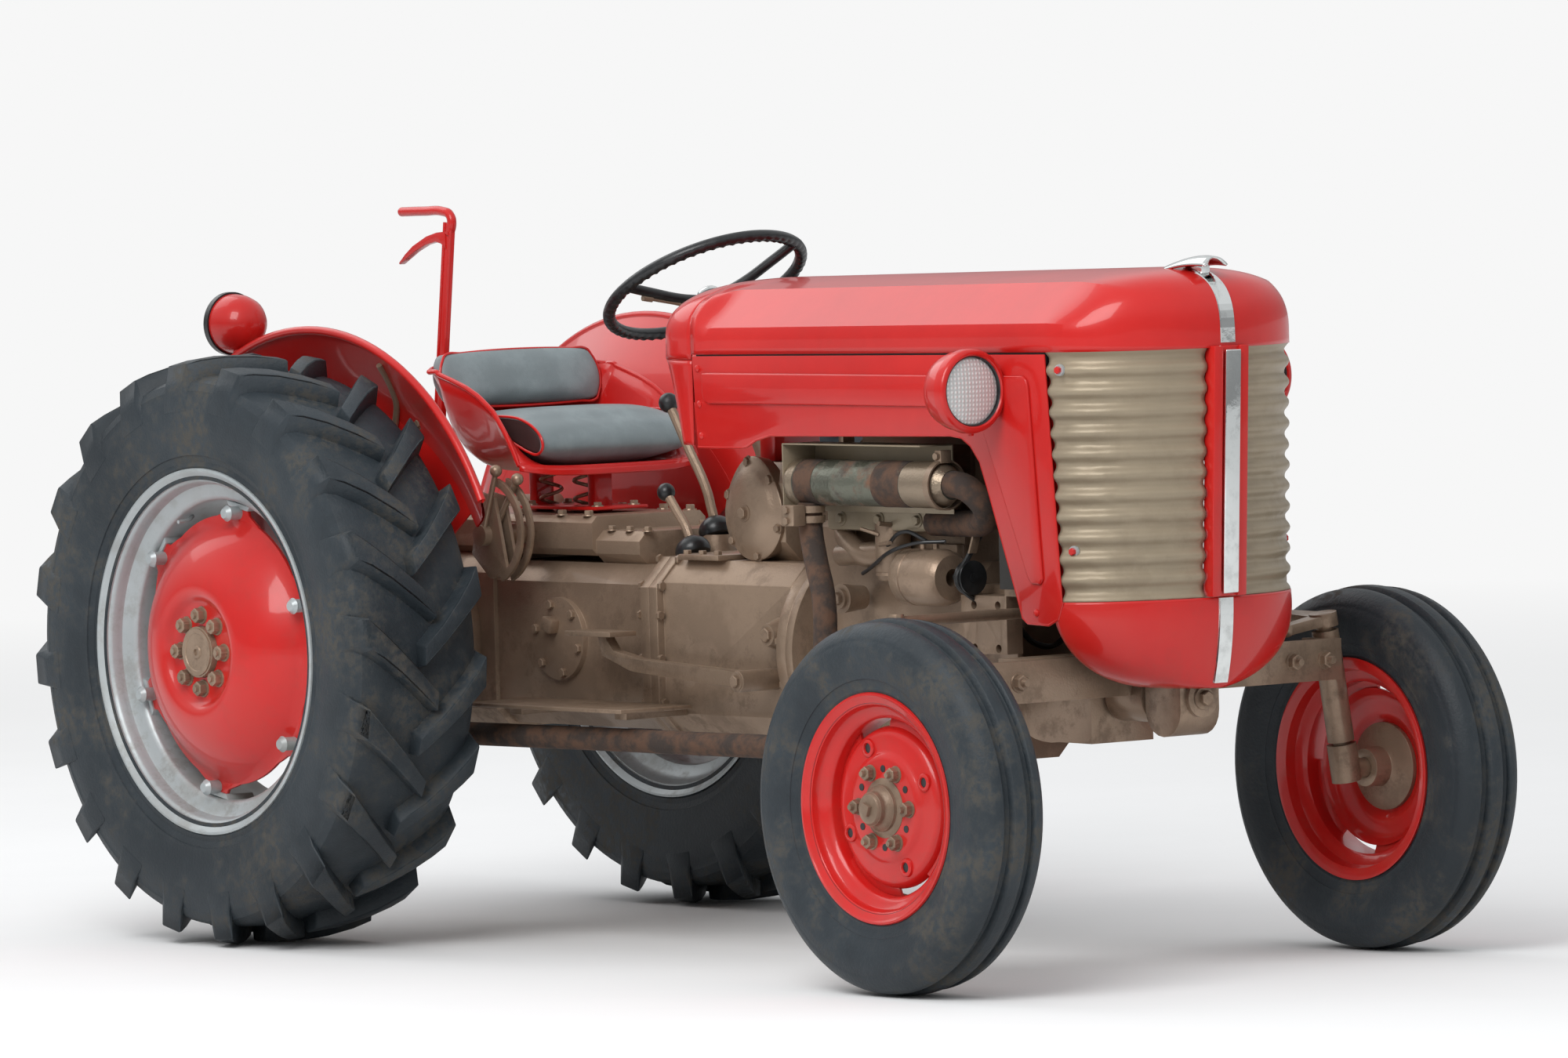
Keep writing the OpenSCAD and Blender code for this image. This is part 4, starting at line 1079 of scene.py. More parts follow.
class TRACTOR_OT_nose(bpy.types.Operator):
    """Model the ridged grille, its post, the lower nose and their chrome."""

    bl_idname = "tractor.nose"
    bl_label = "Nose"

    def grille_place(self, side, sizes):
        """A function that lays one ridged grille panel."""
        low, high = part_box("grille_panels")
        reach = high.x - low.x

        def place(u, v):
            turn = math.radians(GRILLE_FROM + (GRILLE_SWEEP - 9.2 * (1 - v)) * u)
            z = low.z + (high.z - low.z + 17 * MM) * v
            wave = math.cos(v * sizes.ridges * math.tau)
            wave = math.copysign(abs(wave) ** 0.8, wave)
            dent = noise.noise(Vector((u * 5, v * 14, side * 3.0))) * 2.6
            dent += noise.noise(Vector((u * 12, v * 40, side))) * 1.3
            inset = (sizes.ridge_depth / MM) * (0.5 - 0.5 * wave)
            inset += max(0.0, dent) * ease(u * 8) * ease((1 - u) * 8)
            length = reach - 25 * MM * (1 - v) - inset * MM
            width = high.y - inset * MM
            return Vector((low.x + length * math.cos(turn), side * width * math.sin(turn), z))

        return place

    def low_place(self, u, v):
        """A place on the lower nose from its girth and its depth."""
        low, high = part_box("lower_nose")
        d = 0.985 * v
        width = high.y * (1 - d**2.4) ** (1 / 2.4)
        x = low.x + 40 * MM * d
        length = (high.x - low.x) - (27 * d * d + 40 * d) * MM
        turn = math.pi * (u - 0.5)
        return Vector((x + length * math.cos(turn), width * math.sin(turn), high.z - 181 * MM * d))

    def post_face(self, first, last, depth, top, foot):
        """Four corners on the post's leaning face between two places across and two heights."""
        upper = POST_FRONT + depth
        lower = upper - POST_LEAN
        return path((upper, first, top), (upper, last, top), (lower, last, foot), (lower, first, foot))

    def execute(self, context):
        sizes = context.scene.tractor_bodywork
        for side, name in SIDES:
            place = self.grille_place(side, sizes)
            bm = bmesh.new()
            shell(bm, 40, sizes.ridges * 12, place)
            panel = piece(bm, f"grille_{name}", "chassis", "beige_paint", None, ("grille_panels",), 80)
            thicken(panel, 3)
            bm = bmesh.new()
            heads = bmesh.new()
            for u, v in ((0.88, 0.92), (0.88, 0.2)):
                spot = place(u, v)
                turn = math.radians(GRILLE_FROM + GRILLE_SWEEP * u)
                out = Vector((math.cos(turn), side * math.sin(turn), 0))
                drum(bm, spot - out * 2 * MM, spot + out * 3 * MM, 12, 11, 24)
                bolt_heads(heads, [spot + out * 2 * MM], out, 7.5, 8)
            piece(bm, f"grille_screws_{name}", "chassis", "silver_paint")
            piece(heads, f"grille_screw_heads_{name}", "chassis", "red_paint")

        bm = bmesh.new()
        for first, last, depth in ((-44, -21, 0), (21, 44, 0), (-24, 24, -5)):
            plate(bm, self.post_face(first, last, depth, 1234, 746), AHEAD * -30 * MM, 2.5)
        piece(bm, "grille_post_sheet", "chassis", "red_paint", None, ("grille_post",), 40)

        bm = bmesh.new()
        plate(bm, self.post_face(-STRIP_HALF, STRIP_HALF, -2, 1226, 752), AHEAD * 8 * MM, 2.5, 3)
        piece(bm, "post_strip", "chassis", "chrome", None, ("chrome_trim",), 50)

        bm = bmesh.new()
        shell(bm, 60, 36, self.low_place)
        bowl = piece(bm, "lower_nose_bowl", "chassis", "red_paint", None, ("lower_nose",), 70)
        thicken(bowl, sizes.sheet / MM)

        bm = bmesh.new()
        sections = []
        for step in range(15):
            v = 0.01 + 0.93 * step / 14
            mid = self.low_place(0.5, v)
            after = self.low_place(0.5, v + 0.01) - mid
            out = Vector((-after.z, 0, after.x)).normalized()
            if out.x < 0:
                out = -out
            sections.append(strip_section(mid, out, 0.88, 3, 3.2))
        swept(bm, sections)
        piece(bm, "bowl_strip", "chassis", "chrome", angle=50)
        return {"FINISHED"}


FENDER_EDGE = (
    (345, 495), (349, 520), (358, 542), (372, 563), (390, 587), (410, 613), (430, 639), (450, 665),
    (450, 658), (434, 637), (414, 611), (394, 585), (377, 561), (363, 540), (354, 519), (350, 495),
)


# Radii about the rear axle of a fender's rolled edge and of its inner web
FENDER_RIM = 657
FENDER_WEB = 505
# Radii and places across of the brace
FENDER_BRACE = ((330, 358), (505, 358), (535, 364), (560, 378), (590, 400), (622, 428))
BRACE_ANGLE = 70


class TRACTOR_OT_fenders(bpy.types.Operator):
    """Model the rear fenders with their rolled edges."""

    bl_idname = "tractor.fenders"
    bl_label = "Fenders"

    first_angle = 27.5
    last_angle = 166.0
    rake = math.radians(10)

    def execute(self, context):
        for side, name in SIDES:
            axis = LEFT * side
            centre = Vector((REAR_X, 0, REAR_HUB.z))
            bm = bmesh.new()
            sweep = self.last_angle - self.first_angle
            first = spun(bm, FENDER_EDGE, centre, axis, 56, -side * self.first_angle, -side * sweep)
            for vert in {vert for edge in first for vert in edge.verts}:
                rake = self.rake * (450 - abs(vert.co.y) / MM) / 105
                vert.co = centre + Matrix.Rotation(-rake, 3, "Y") @ (vert.co - centre)
            close_ends(bm)
            rim = [over_axle(FENDER_RIM, angle, side * 449) for angle in range(28, 167, 3)]
            tube(bm, rim, 9, straight=True)
            arc = [polar(FENDER_WEB, angle) for angle in range(34, 159, 6)]
            web = [(-105, 92), (105, 92), (240, 150)] + arc + [(-240, 150)]
            plate(bm, [at(x, side * 345.2, AXLE_UP + z) for x, z in web], axis * 4.6 * MM, 1)
            stand_in = ("fenders",) if side > 0 else ()
            piece(bm, f"fender_{name}", "chassis", "red_paint", None, stand_in, 40)

            bm = bmesh.new()
            for angle in (62, 84, 106, 128):
                spots = [over_axle(radius, angle, side * 351) for radius in (420, 520)]
                bolt_heads(bm, spots, axis, 9, 7, 13)
            brace = [over_axle(radius, BRACE_ANGLE, side * across) for radius, across in FENDER_BRACE]
            tube(bm, brace, 7)
            piece(bm, f"fender_brace_{name}", "chassis", "bronze_paint")
        return {"FINISHED"}


LAMP_BUCKET = (
    (-98, 0), (-97, 18), (-92, 38), (-82, 55), (-66, 69), (-44, 77), (-20, 80), (-18, 82.5), (-2, 82.5),
    (3, 81), (6, 77), (6, 72), (3, 68.5), (-4, 67), (-10, 66),
)
LAMP_SEAL = ((1, 69.5), (3.5, 68.4), (2, 66.8), (-4, 66))
REAR_LAMP = ((-60, 0), (-59, 14), (-54, 30), (-44, 44), (-28, 55), (-8, 61), (16, 63), (22, 63))
REAR_SEAL = ((18, 62), (18, 67), (32, 67), (35, 63), (34, 54), (28, 52), (20, 52))


def lens_profile(face, bulge, radius, step):
    """A lens's profile from its middle to its edge, with a step in degrees."""
    return [(face + polar(bulge, angle)[0], polar(radius, angle)[1]) for angle in range(0, 91, step)]


class TRACTOR_OT_lamps(bpy.types.Operator):
    """Model the head lamps and the rear lamp."""

    bl_idname = "tractor.lamps"
    bl_label = "Lamps"

    def execute(self, context):
        shells = bmesh.new()
        lenses = bmesh.new()
        dark = bmesh.new()
        for side, _ in SIDES:
            centre = at(2068, side * 372.3, 1157)
            spun(shells, LAMP_BUCKET, centre, AHEAD, 72, ring=False)
            foot = centre - AHEAD * 45 * MM
            drum(shells, foot, foot - LEFT * side * 84 * MM, 30, 34, 32)
            block(shells, at(1985, side * 290 - 6, 1118), at(2060, side * 290 + 6, 1196), 4)
            bolt_heads(shells, [centre - UP * 82 * MM - AHEAD * 8 * MM], -UP, 6, 5)
            spun(lenses, lens_profile(-6, 9, 67.5, 10), centre, AHEAD, 72, ring=False)
            spun(dark, LAMP_SEAL, centre, AHEAD, 72, ring=False)
        rear = at(-287, -425, 1284)
        spun(shells, REAR_LAMP, rear, -AHEAD, 56, ring=False)
        spun(dark, REAR_SEAL, rear, -AHEAD, 56)
        spun(lenses, lens_profile(24, 10, 54, 15), rear, -AHEAD, 56, ring=False)
        drum(shells, at(-275, -425, 1262), at(-270, -436, 1194), 13, 18, 24)
        piece(shells, "lamp_buckets", "chassis", "red_paint", None, ("lamp_shells",), 40)
        piece(lenses, "lamp_glass", "chassis", "lens_glass", None, ("lamp_lenses",), 50)
        piece(dark, "lamp_seals", "chassis", "black_plastic")
        return {"FINISHED"}


SEAT_LINE = (
    # ahead of the seat's front edge, height, side rise, side pull ahead
    (14, -16, 14, -40), (13, -6, 12, -38), (4, 0, 10, -32), (-24, -4, 36, -16), (-66, -8, 84, -4),
    (-110, -12, 132, 0), (-158, -13, 164, 0), (-205, -13, 184, 0), (-250, -12, 196, 2),
    (-285, -6, 198, 8), (-314, 8, 188, 22), (-332, 26, 172, 36), (-346, 58, 142, 48),
    (-356, 96, 106, 54), (-367, 130, 72, 56), (-376, 160, 42, 58), (-384, 188, 13, 60),
    (-390, 212, -10, 62),
)
SEAT_FRONT = (455, 975)
SEAT_HALF = 235


class TRACTOR_OT_seat(bpy.types.Operator):
    """Model the seat pan on its springs and the two vinyl pads with red piping."""

    bl_idname = "tractor.seat"
    bl_label = "Seat"

    def pan_place(self, u, v):
        """A place on the seat pan from front to back and from right to left."""
        run = u * (len(SEAT_LINE) - 1)
        index = min(int(run), len(SEAT_LINE) - 2)
        part = run - index
        ahead, up, rise, pull = (a + (b - a) * part for a, b in zip(SEAT_LINE[index], SEAT_LINE[index + 1]))
        across = (v - 0.5) * 2
        lift = abs(across) ** 5
        half = SEAT_HALF - 10 * (1 - lift)
        return at(SEAT_FRONT[0] + ahead + pull * lift, across * half, SEAT_FRONT[1] + up + rise * lift)

    def pan_height(self, ahead, across):
        """Height of the pan's sheet under a place of the seat pad."""
        for (x0, up0, rise0, _), (x1, up1, rise1, _) in zip(SEAT_LINE, SEAT_LINE[1:]):
            if x1 <= ahead:
                part = max(0.0, (x0 - ahead) / (x0 - x1))
                break
        up = up0 + (up1 - up0) * part
        rise = rise0 + (rise1 - rise0) * part
        return SEAT_FRONT[1] + up + rise * abs(across / (SEAT_HALF - 4)) ** 5

    def pad(self, name, node, place, piping, fill, finish):
        """One pad, swollen by a short cloth run, with its piping."""
        bm = bmesh.new()
        bmesh.ops.create_cube(bm, size=2)
        bmesh.ops.subdivide_edges(bm, edges=bm.edges, cuts=9, use_grid_fill=True)
        for vert in bm.verts:
            vert.co = place(*vert.co)
        obj = piece(bm, name, "chassis", "vinyl", finish, (node,), 60)
        self.swell(obj, 5)
        smoothed(obj)
        bm = bmesh.new()
        for loop in piping:
            tube(bm, loop, 3.0, closed=True)
        piece(bm, name + "_piping", "chassis", "red_paint")

    def swell(self, obj, cap):
        """Swells a pad with pressure in a cloth run and keeps the result, within a cap in millimetres."""
        scene = bpy.context.scene
        rest = [vert.co.copy() for vert in obj.data.vertices]
        cloth = obj.modifiers.new("Swell", "CLOTH")
        cloth.settings.use_pressure = True
        cloth.settings.uniform_pressure_force = 4.0
        cloth.settings.tension_stiffness = 25.0
        cloth.settings.compression_stiffness = 25.0
        cloth.settings.effector_weights.gravity = 0.0
        for number in range(1, 21):
            scene.frame_set(number)
        swollen = obj.evaluated_get(bpy.context.evaluated_depsgraph_get()).to_mesh()
        moved = [vert.co.copy() for vert in swollen.vertices]
        obj.modifiers.remove(cloth)
        scene.frame_set(1)
        for vert, before, after in zip(obj.data.vertices, rest, moved):
            step = after - before
            if step.length > cap * MM:
                step *= cap * MM / step.length
            vert.co = before + step

    def cushion(self, x, y, z):
        """A place on the seat pad from a cube of corners at 1."""
        roll = 0.3 + 0.14 * x
        along = 312 + 150 * x * math.sqrt(1 - roll * z * z) - 20 * z * max(0.0, x)
        across = 200 * y
        floor = self.pan_height(along - SEAT_FRONT[0], across) + 11
        level = 0.5 + 0.5 * z * math.sqrt(1 - roll * x * x)
        top = 1084 + 10 * (1 - x**4) * (1 - y**4)
        return at(along, across, floor + (top - floor) * level)

    def backrest(self, x, y, z):
        """A place on the back pad: x from back to front, y across, z up."""
        crown = (1 - y**4) * (1 - z**4)
        tuck = 1 - 0.06 * abs(x) ** 3
        up = 1157 + z * math.sqrt(1 - 0.2 * y * y) * 60 * tuck
        back = 116 - (up - 1082) * 0.27
        along = back + (0.5 + 0.5 * x) * (46 + 16 * crown)
        across = y * math.sqrt(1 - 0.2 * z * z) * 213 * tuck
        return at(along, across, up)

    def execute(self, context):
        sizes = context.scene.tractor_bodywork
        bm = bmesh.new()
        shell(bm, 51, 48, self.pan_place)
        pan = piece(bm, "seat_pan_sheet", "chassis", "red_paint", None, ("seat_pan",), 50)
        thicken(pan, sizes.sheet / MM)
        bm = bmesh.new()
        lip = 2 / (len(SEAT_LINE) - 1)
        rim = [self.pan_place(lip + (1 - lip) * k / 40, 0.0) for k in range(41)]
        rim += [self.pan_place(1.0, k / 20) for k in range(1, 20)]
        rim += [self.pan_place(1 - (1 - lip) * k / 40, 1.0) for k in range(41)]
        rim += [self.pan_place(lip, 1 - k / 40) for k in range(1, 40)]
        tube(bm, rim, 5.5, closed=True, straight=True)
        for x in (185, 385):
            block(bm, at(x, -24, 877), at(x + 24, 24, 964), 3)
        block(bm, at(200, -70, 884), at(470, 70, 891), 2)
        piece(bm, "seat_frame", "chassis", "red_paint")

        bm = bmesh.new()
        for x in (230, 345):
            turns = [k * 0.5 for k in range(27)]
            spring = [at(x + 22 * math.cos(t), 22 * math.sin(t), 878 + 6.2 * t) for t in turns]
            tube(bm, spring, 4)
        bolt_heads(bm, [at(x, y, 891) for x in (225, 450) for y in (-48, 48)], UP, 9, 7, 13)
        piece(bm, "seat_springs", "chassis", "bronze_paint")

        ring = [(math.cos(a), math.sin(a)) for a in [math.tau * k / 48 for k in range(48)]]
        ring = [(x / max(abs(x), abs(y)), y / max(abs(x), abs(y))) for x, y in ring]
        loops = [[self.cushion(x, y, z) for x, z in ring] for y in (0.995, -0.995)]
        # The seat pad's finish paints its two sides dark, as shade.
        self.pad("seat_pad", "seat_cushion", self.cushion, loops, 0.75, "vinyl_shaded_sides")
        loops = [[self.backrest(0.72, y * 1.01, z * 1.01) for y, z in ring]]
        self.pad("back_pad", "seat_backrest", self.backrest, loops, 0.75, "vinyl")
        return {"FINISHED"}


class TRACTOR_OT_steering_wheel(bpy.types.Operator):
    """Model the steering wheel and the throttle stalk under it."""

    bl_idname = "tractor.steering_wheel"
    bl_label = "Steering wheel"

    def execute(self, context):
        lean = math.radians(29)
        axis = Vector((-math.sin(lean), 0, math.cos(lean)))
        centre = at(770, 0, 1350)
        side = Vector((math.cos(lean), 0, math.sin(lean)))
        radius = 209
        thick = 13
        bm = bmesh.new()
        points = [polar(thick, angle) for angle in range(0, 360, 24)]
        spun(bm, [(along, radius + out) for out, along in points], centre, axis, 180)
        for vert in bm.verts:
            arm = vert.co - centre
            depth = -arm.dot(axis) / MM
            flat = arm - axis * arm.dot(axis)
            if depth > 2:
                bearing = math.atan2(flat.y, flat.dot(side))
                vert.co += axis * abs(math.sin(bearing * 30)) * 3.2 * MM * (depth / thick)
        for bearing in (33, 153, 273):
            out = Matrix.Rotation(math.radians(bearing), 3, axis) @ side
            line = ((20, 34), (80, 30), (150, 16), (207, 3))
            tube(bm, [centre + out * reach * MM - axis * sink * MM for reach, sink in line], 10.5)
        hub = ((-64, 12), (-64, 30), (-52, 38), (-34, 38), (-24, 33), (-20, 26), (-18, 0))
        spun(bm, hub, centre, axis, 40, ring=False)
        drum(bm, centre - axis * 120 * MM, centre - axis * 60 * MM, 11, 11, 24)
        piece(bm, "wheel_grip", "steering_wheel", "black_plastic", None, ("steering_wheel",), 50)

        bm = bmesh.new()
        cap = [(-19 + polar(14, angle)[1], polar(24, angle)[0]) for angle in range(0, 91, 15)]
        spun(bm, cap, centre, axis, 36, ring=False)
        piece(bm, "wheel_cap", "steering_wheel", "chrome")

        bm = bmesh.new()
        start = centre - axis * 72 * MM
        line = ((10, 0), (60, 24), (150, 46), (172, 50))
        stalk = [start - LEFT * out * MM + axis * rise * MM for out, rise in line]
        tube(bm, stalk[:3], 4)
        tube(bm, stalk[2:], 7)
        spun(bm, ((-20, 24), (-20, 31), (-6, 33), (6, 33), (12, 28), (12, 24)), start, axis, 36)
        piece(bm, "throttle_stalk", "chassis", "bronze_paint")
        return {"FINISHED"}


CASTINGS = (
    ("transmission_case", 7), ("clutch_housing", 7), ("engine_block", 5), ("front_bolster", 5),
    ("axle_trumpets", 4), ("lift_cover", 5), ("steering_box", 6), ("front_axle", 3),
    ("knuckle_left", 2.5), ("knuckle_right", 2.5), ("center_arm", 2.5), ("tie_rod_left", 1.5),
    ("tie_rod_right", 1.5), ("drag_link", 1.5), ("pitman_arm", 2.5), ("lift_arms", 3),
    ("lift_rods", 1.5), ("lower_links", 3), ("control_quadrants", 1.5), ("pedals", 2.0),
    ("foot_rests", 1.5), ("carburettor", 2.0), ("fuel_tank", 6),
)


class TRACTOR_OT_castings(bpy.types.Operator):
    """Round the edges of the solids that keep their form."""

    bl_idname = "tractor.castings"
    bl_label = "Castings"

    def execute(self, context):
        for node, radius in CASTINGS:
            cast_copy(node, "bronze_paint", radius)
        cast_copy("radiator", "dark_core", 3)
        return {"FINISHED"}


CASE_FLANGE = ((178, 500), (184, 590), (184, 680), (178, 740), (130, 792), (60, 794))
STEERING_COVER = ((-24, 90), (0, 94), (7, 94), (10, 91), (12, 83), (20, 74), (27, 58), (31, 36), (32, 0))
INNER_FLANGE = ((0, 150), (0, 158), (5, 160), (13, 160), (18, 156), (18, 140))
OUTER_FLANGE = ((0, 88), (0, 98), (4, 100), (14, 100), (18, 96), (18, 84))
LEVER_BOOT = ((0, 30), (3, 35), (9, 37), (17, 37), (25, 34), (32, 29), (37, 22), (41, 14), (43, 9))


class TRACTOR_OT_fasteners(bpy.types.Operator):
    """Add bolts, covers and lids to the castings."""

    bl_idname = "tractor.fasteners"
    bl_label = "Fasteners and covers"

    def execute(self, context):
        bm = bmesh.new()
        cover = at(470, -178, 623)
        bolt_heads(bm, ring_places(cover, LEFT, 73, 6, 15), -LEFT, 10, 9, 0)
        low, high = Vector((-30, -22, 14)) * MM, Vector((4, 4, 44)) * MM
        block(bm, cover + low, cover + high, 4, Matrix.Rotation(0.3, 4, "Y"))
        for y, z in CASE_FLANGE:
            for side in (1, -1):
                bolt_heads(bm, [at(765, side * y, z)], -AHEAD, 10, 9)
                bolt_heads(bm, [at(820, side * y, z)], AHEAD, 10, 9)
        bolt_heads(bm, ring_places(at(1235, 0, AXLE_UP), AHEAD, 199, 14, 6), -AHEAD, 11, 10)
        for side in (1, -1):
            bolt_heads(bm, ring_places(at(0, side * 196, AXLE_UP), LEFT, 193, 14), LEFT * side, 11, 9)
            bolt_heads(bm, ring_places(at(0, side * 484, AXLE_UP), LEFT, 90, 8), LEFT * -side, 9, 8)
        bolt_heads(bm, in_pairs((-140, 0, 140, 300, 440, 530), 134, 877), UP, 10, 9, 14)
        bolt_heads(bm, in_pairs((590, 650, 710), 120, 847), UP, 9, 8, 13)
        block(bm, at(845, -152, 793), at(980, 152, 805), 4)
        bolt_heads(bm, in_pairs((862, 912, 962), 138, 805), UP, 9, 8)
        for side in (1, -1):
            seats = [at(2165, side * y, 591) for y in (355, 440)]
            bolt_heads(bm, seats, AHEAD, 16, 14, 20)
            for seat in seats:
                drum(bm, seat + AHEAD * 16 * MM, seat + AHEAD * 26 * MM, 9, 7, 16)
            bolt_heads(bm, [at(1185, side * 275, 560)], LEFT * side, 13, 8, 20)
        bolt_heads(bm, [at(2302, 0, 545)], AHEAD, 15, 12, 24)
        piece(bm, "chassis_bolts", "chassis", "bronze_paint")

        bm = bmesh.new()
        cover = at(1058, -110, 892)
        spun(bm, STEERING_COVER, cover, -LEFT, 72, ring=False)
        bolt_heads(bm, ring_places(cover - LEFT * 8 * MM, LEFT, 86, 6, 20), -LEFT, 8, 8, 11)
        for vert in bm.verts:
            up = vert.co.z - cover.z
            vert.co.z = cover.z + up * (1.22 if up > 0 else 1.05)
            vert.co.x = cover.x + (vert.co.x - cover.x) * (1 - 0.18 * max(0.0, up) / 0.094)
        bolt_heads(bm, [cover - LEFT * 31 * MM], -LEFT, 12, 10, 18)
        boss = at(1205, -176, 651)
        drum(bm, boss, boss - LEFT * 34 * MM, 34, 22, 32)
        bolt_heads(bm, [boss - LEFT * 33 * MM], -LEFT, 15, 9)
        for side in (1, -1):
            spun(bm, INNER_FLANGE, at(0, side * 205, AXLE_UP), LEFT * side, 64)
            spun(bm, OUTER_FLANGE, at(0, side * 462, AXLE_UP), LEFT * side, 56)
        piece(bm, "bolted_covers", "chassis", "bronze_paint")

        bm = bmesh.new()
        for foot, lean in ((at(764, 20, 832), -0.35), (at(800, -70, 796), -0.5)):
            spun(bm, LEVER_BOOT, foot, Vector((lean, 0, 1)).normalized(), 36, ring=False)
        close_ends(bm)
        piece(bm, "lever_boots", "chassis", "black_plastic")
        bm = bmesh.new()
        drum(bm, at(764, 20, 795), at(764, 20, 836), 40, 34, 36)
        drum(bm, at(800, -70, 790), at(800, -70, 799), 40, 36, 36)
        piece(bm, "lever_sockets", "chassis", "bronze_paint")
        return {"FINISHED"}


HAND_Y = -110
HAND_GRIP = ((46, 1462), (55, 1484), (49, 1502), (26, 1510), (-40, 1511), (-118, 1510))
HAND_BLADE = (
    (40, 1468), (8, 1466), (-28, 1458), (-76, 1438), (-104, 1420), (-126, 1402), (-124, 1398),
    (-100, 1410), (-70, 1425), (-30, 1440), (4, 1446), (24, 1442), (40, 1430),
)
HAND_FOOT = ((-62, 878), (40, 878), (24, 960), (-30, 960))


class TRACTOR_OT_levers(bpy.types.Operator):
    """Model the gear levers and the hand lever with its trigger."""

    bl_idname = "tractor.levers"
    bl_label = "Levers"

    def execute(self, context):
        rods = bmesh.new()
        balls = bmesh.new()
        for foot, bend, top, radius in (
            (at(764, 20, 838), at(732, 20, 925), at(612, 20, 1106), 21),
            (at(800, -70, 800), at(776, -70, 850), at(710, -70, 926), 19),
        ):
            tube(rods, [foot, foot.lerp(bend, 0.6), bend, bend.lerp(top, 0.5), top], 10)
            ball(balls, top, radius, 32, 20)
        piece(rods, "gear_rods", "chassis", "bronze_paint", None, ("shift_levers",))
        piece(balls, "gear_knobs", "chassis", "black_plastic")

        bm = bmesh.new()
        foot, head = at(-30, HAND_Y, 880), at(47, HAND_Y, 1486)
        across = (head - foot).cross(LEFT).normalized()
        half = across * 14 * MM
        bar = [foot - half, foot + half, head + half, head - half]
        plate(bm, [place - LEFT * 5 * MM for place in bar], LEFT * 11 * MM, 2)
        for edge in (-11, 11):
            ridge = across * edge * MM - LEFT * 5 * MM
            tube(bm, [foot + ridge, head + ridge], 3, straight=True)
        grip = [at(x, HAND_Y, z) for x, z in HAND_GRIP]
        tube(bm, grip, 10, roundness=4)
        ball(bm, grip[-1], 10, 20, 12)
        for outline in (HAND_BLADE, HAND_FOOT):
            plate(bm, [at(x, HAND_Y - 8, z) for x, z in outline], LEFT * 16 * MM, 3)
        piece(bm, "hand_bar", "chassis", "red_paint", None, ("hand_lever",))
        return {"FINISHED"}


# Axis of the muffler
MUFFLER_Y = -246
MUFFLER_Z = 965
MUFFLER_CAN = (
    (0, 0), (0, 30), (2, 40), (8, 45.5), (14, 46.5), (20, 46), (150, 46), (154, 47), (158, 46), (445, 46),
    (452, 45), (462, 40), (474, 33), (480, 29), (480, 0),
)
MUFFLER_BACK = ((1, 30), (2, 40.6), (8, 46), (14, 47), (20, 46.6), (34, 46.6))
MUFFLER_FRONT = ((0, 46.5), (75, 46.6), (82, 45.6), (92, 40.6), (104, 33.6), (111, 29))
ELBOW = (
    (1700, -175, 886), (1800, -178, 886), (1880, -196, 892), (1920, -222, 918), (1906, -242, 950),
    (1870, -246, 965), (1825, -246, 965),
)
TAIL_PIPE = (
    (1420, -262, 925), (1420, -262, 875), (1450, -276, 815), (1500, -298, 735), (1512, -308, 620),
    (1508, -310, 520), (1480, -313, 465), (1410, -315, 438), (1300, -315, 436), (800, -315, 433),
    (330, -315, 430),
)
GENERATOR = (
    (-4, 20), (-4, 44), (0, 51), (8, 56), (34, 57), (36, 55), (40, 55), (42, 57), (112, 57), (116, 55),
    (128, 53), (138, 45), (140, 18),
)
BELT_X = 1834
BELT = (
    (-222, 764), (-228, 782), (-212, 805), (-60, 966), (0, 990), (50, 960), (66, 900), (64, 700),
    (30, 640), (-30, 640), (-80, 680),
)
PULLEY = ((0, 8), (0, 34), (5, 34), (10, 27), (15, 34), (20, 34), (20, 8))
LEADS = (
    ((1640, 171, 912), (1600, 150, 950), (1430, 120, 940)),
    ((1645, 171, 912), (1610, 160, 970), (1520, 120, 942)),
    ((1640, 176, 912), (1640, 165, 960), (1610, 120, 942)),
    ((1648, 171, 912), (1670, 160, 950), (1690, 120, 942)),
    ((1700, -195, 850), (1650, -205, 868), (1560, -190, 830)),
    ((1760, -195, 850), (1700, -230, 846), (1480, -180, 780)),
)
TOP_HOSE = ((1700, 60, 1035), (1780, 70, 1070), (1880, 90, 1130), (1966, 95, 1160))
LOW_HOSE = ((1790, 90, 780), (1850, 130, 790), (1920, 150, 800), (1966, 155, 810))
INTAKE = (
    (1560, -165, 822), (1500, -172, 812), (1440, -168, 830), (1390, -150, 860), (1370, -120, 870),
)
# Ends and radii of the carburettor's rods
CARBURETTOR_RODS = (
    ((1560, -200, 840), (1620, -222, 846), 4),
    ((1560, -200, 860), (1520, -214, 872), 4),
    ((1585, -190, 880), (1585, -222, 884), 5),
)
FLOAT_BOWL = ((0, 30), (0, 34), (12, 36), (22, 30), (28, 12), (28, 0))
FAN_AXIS = 930


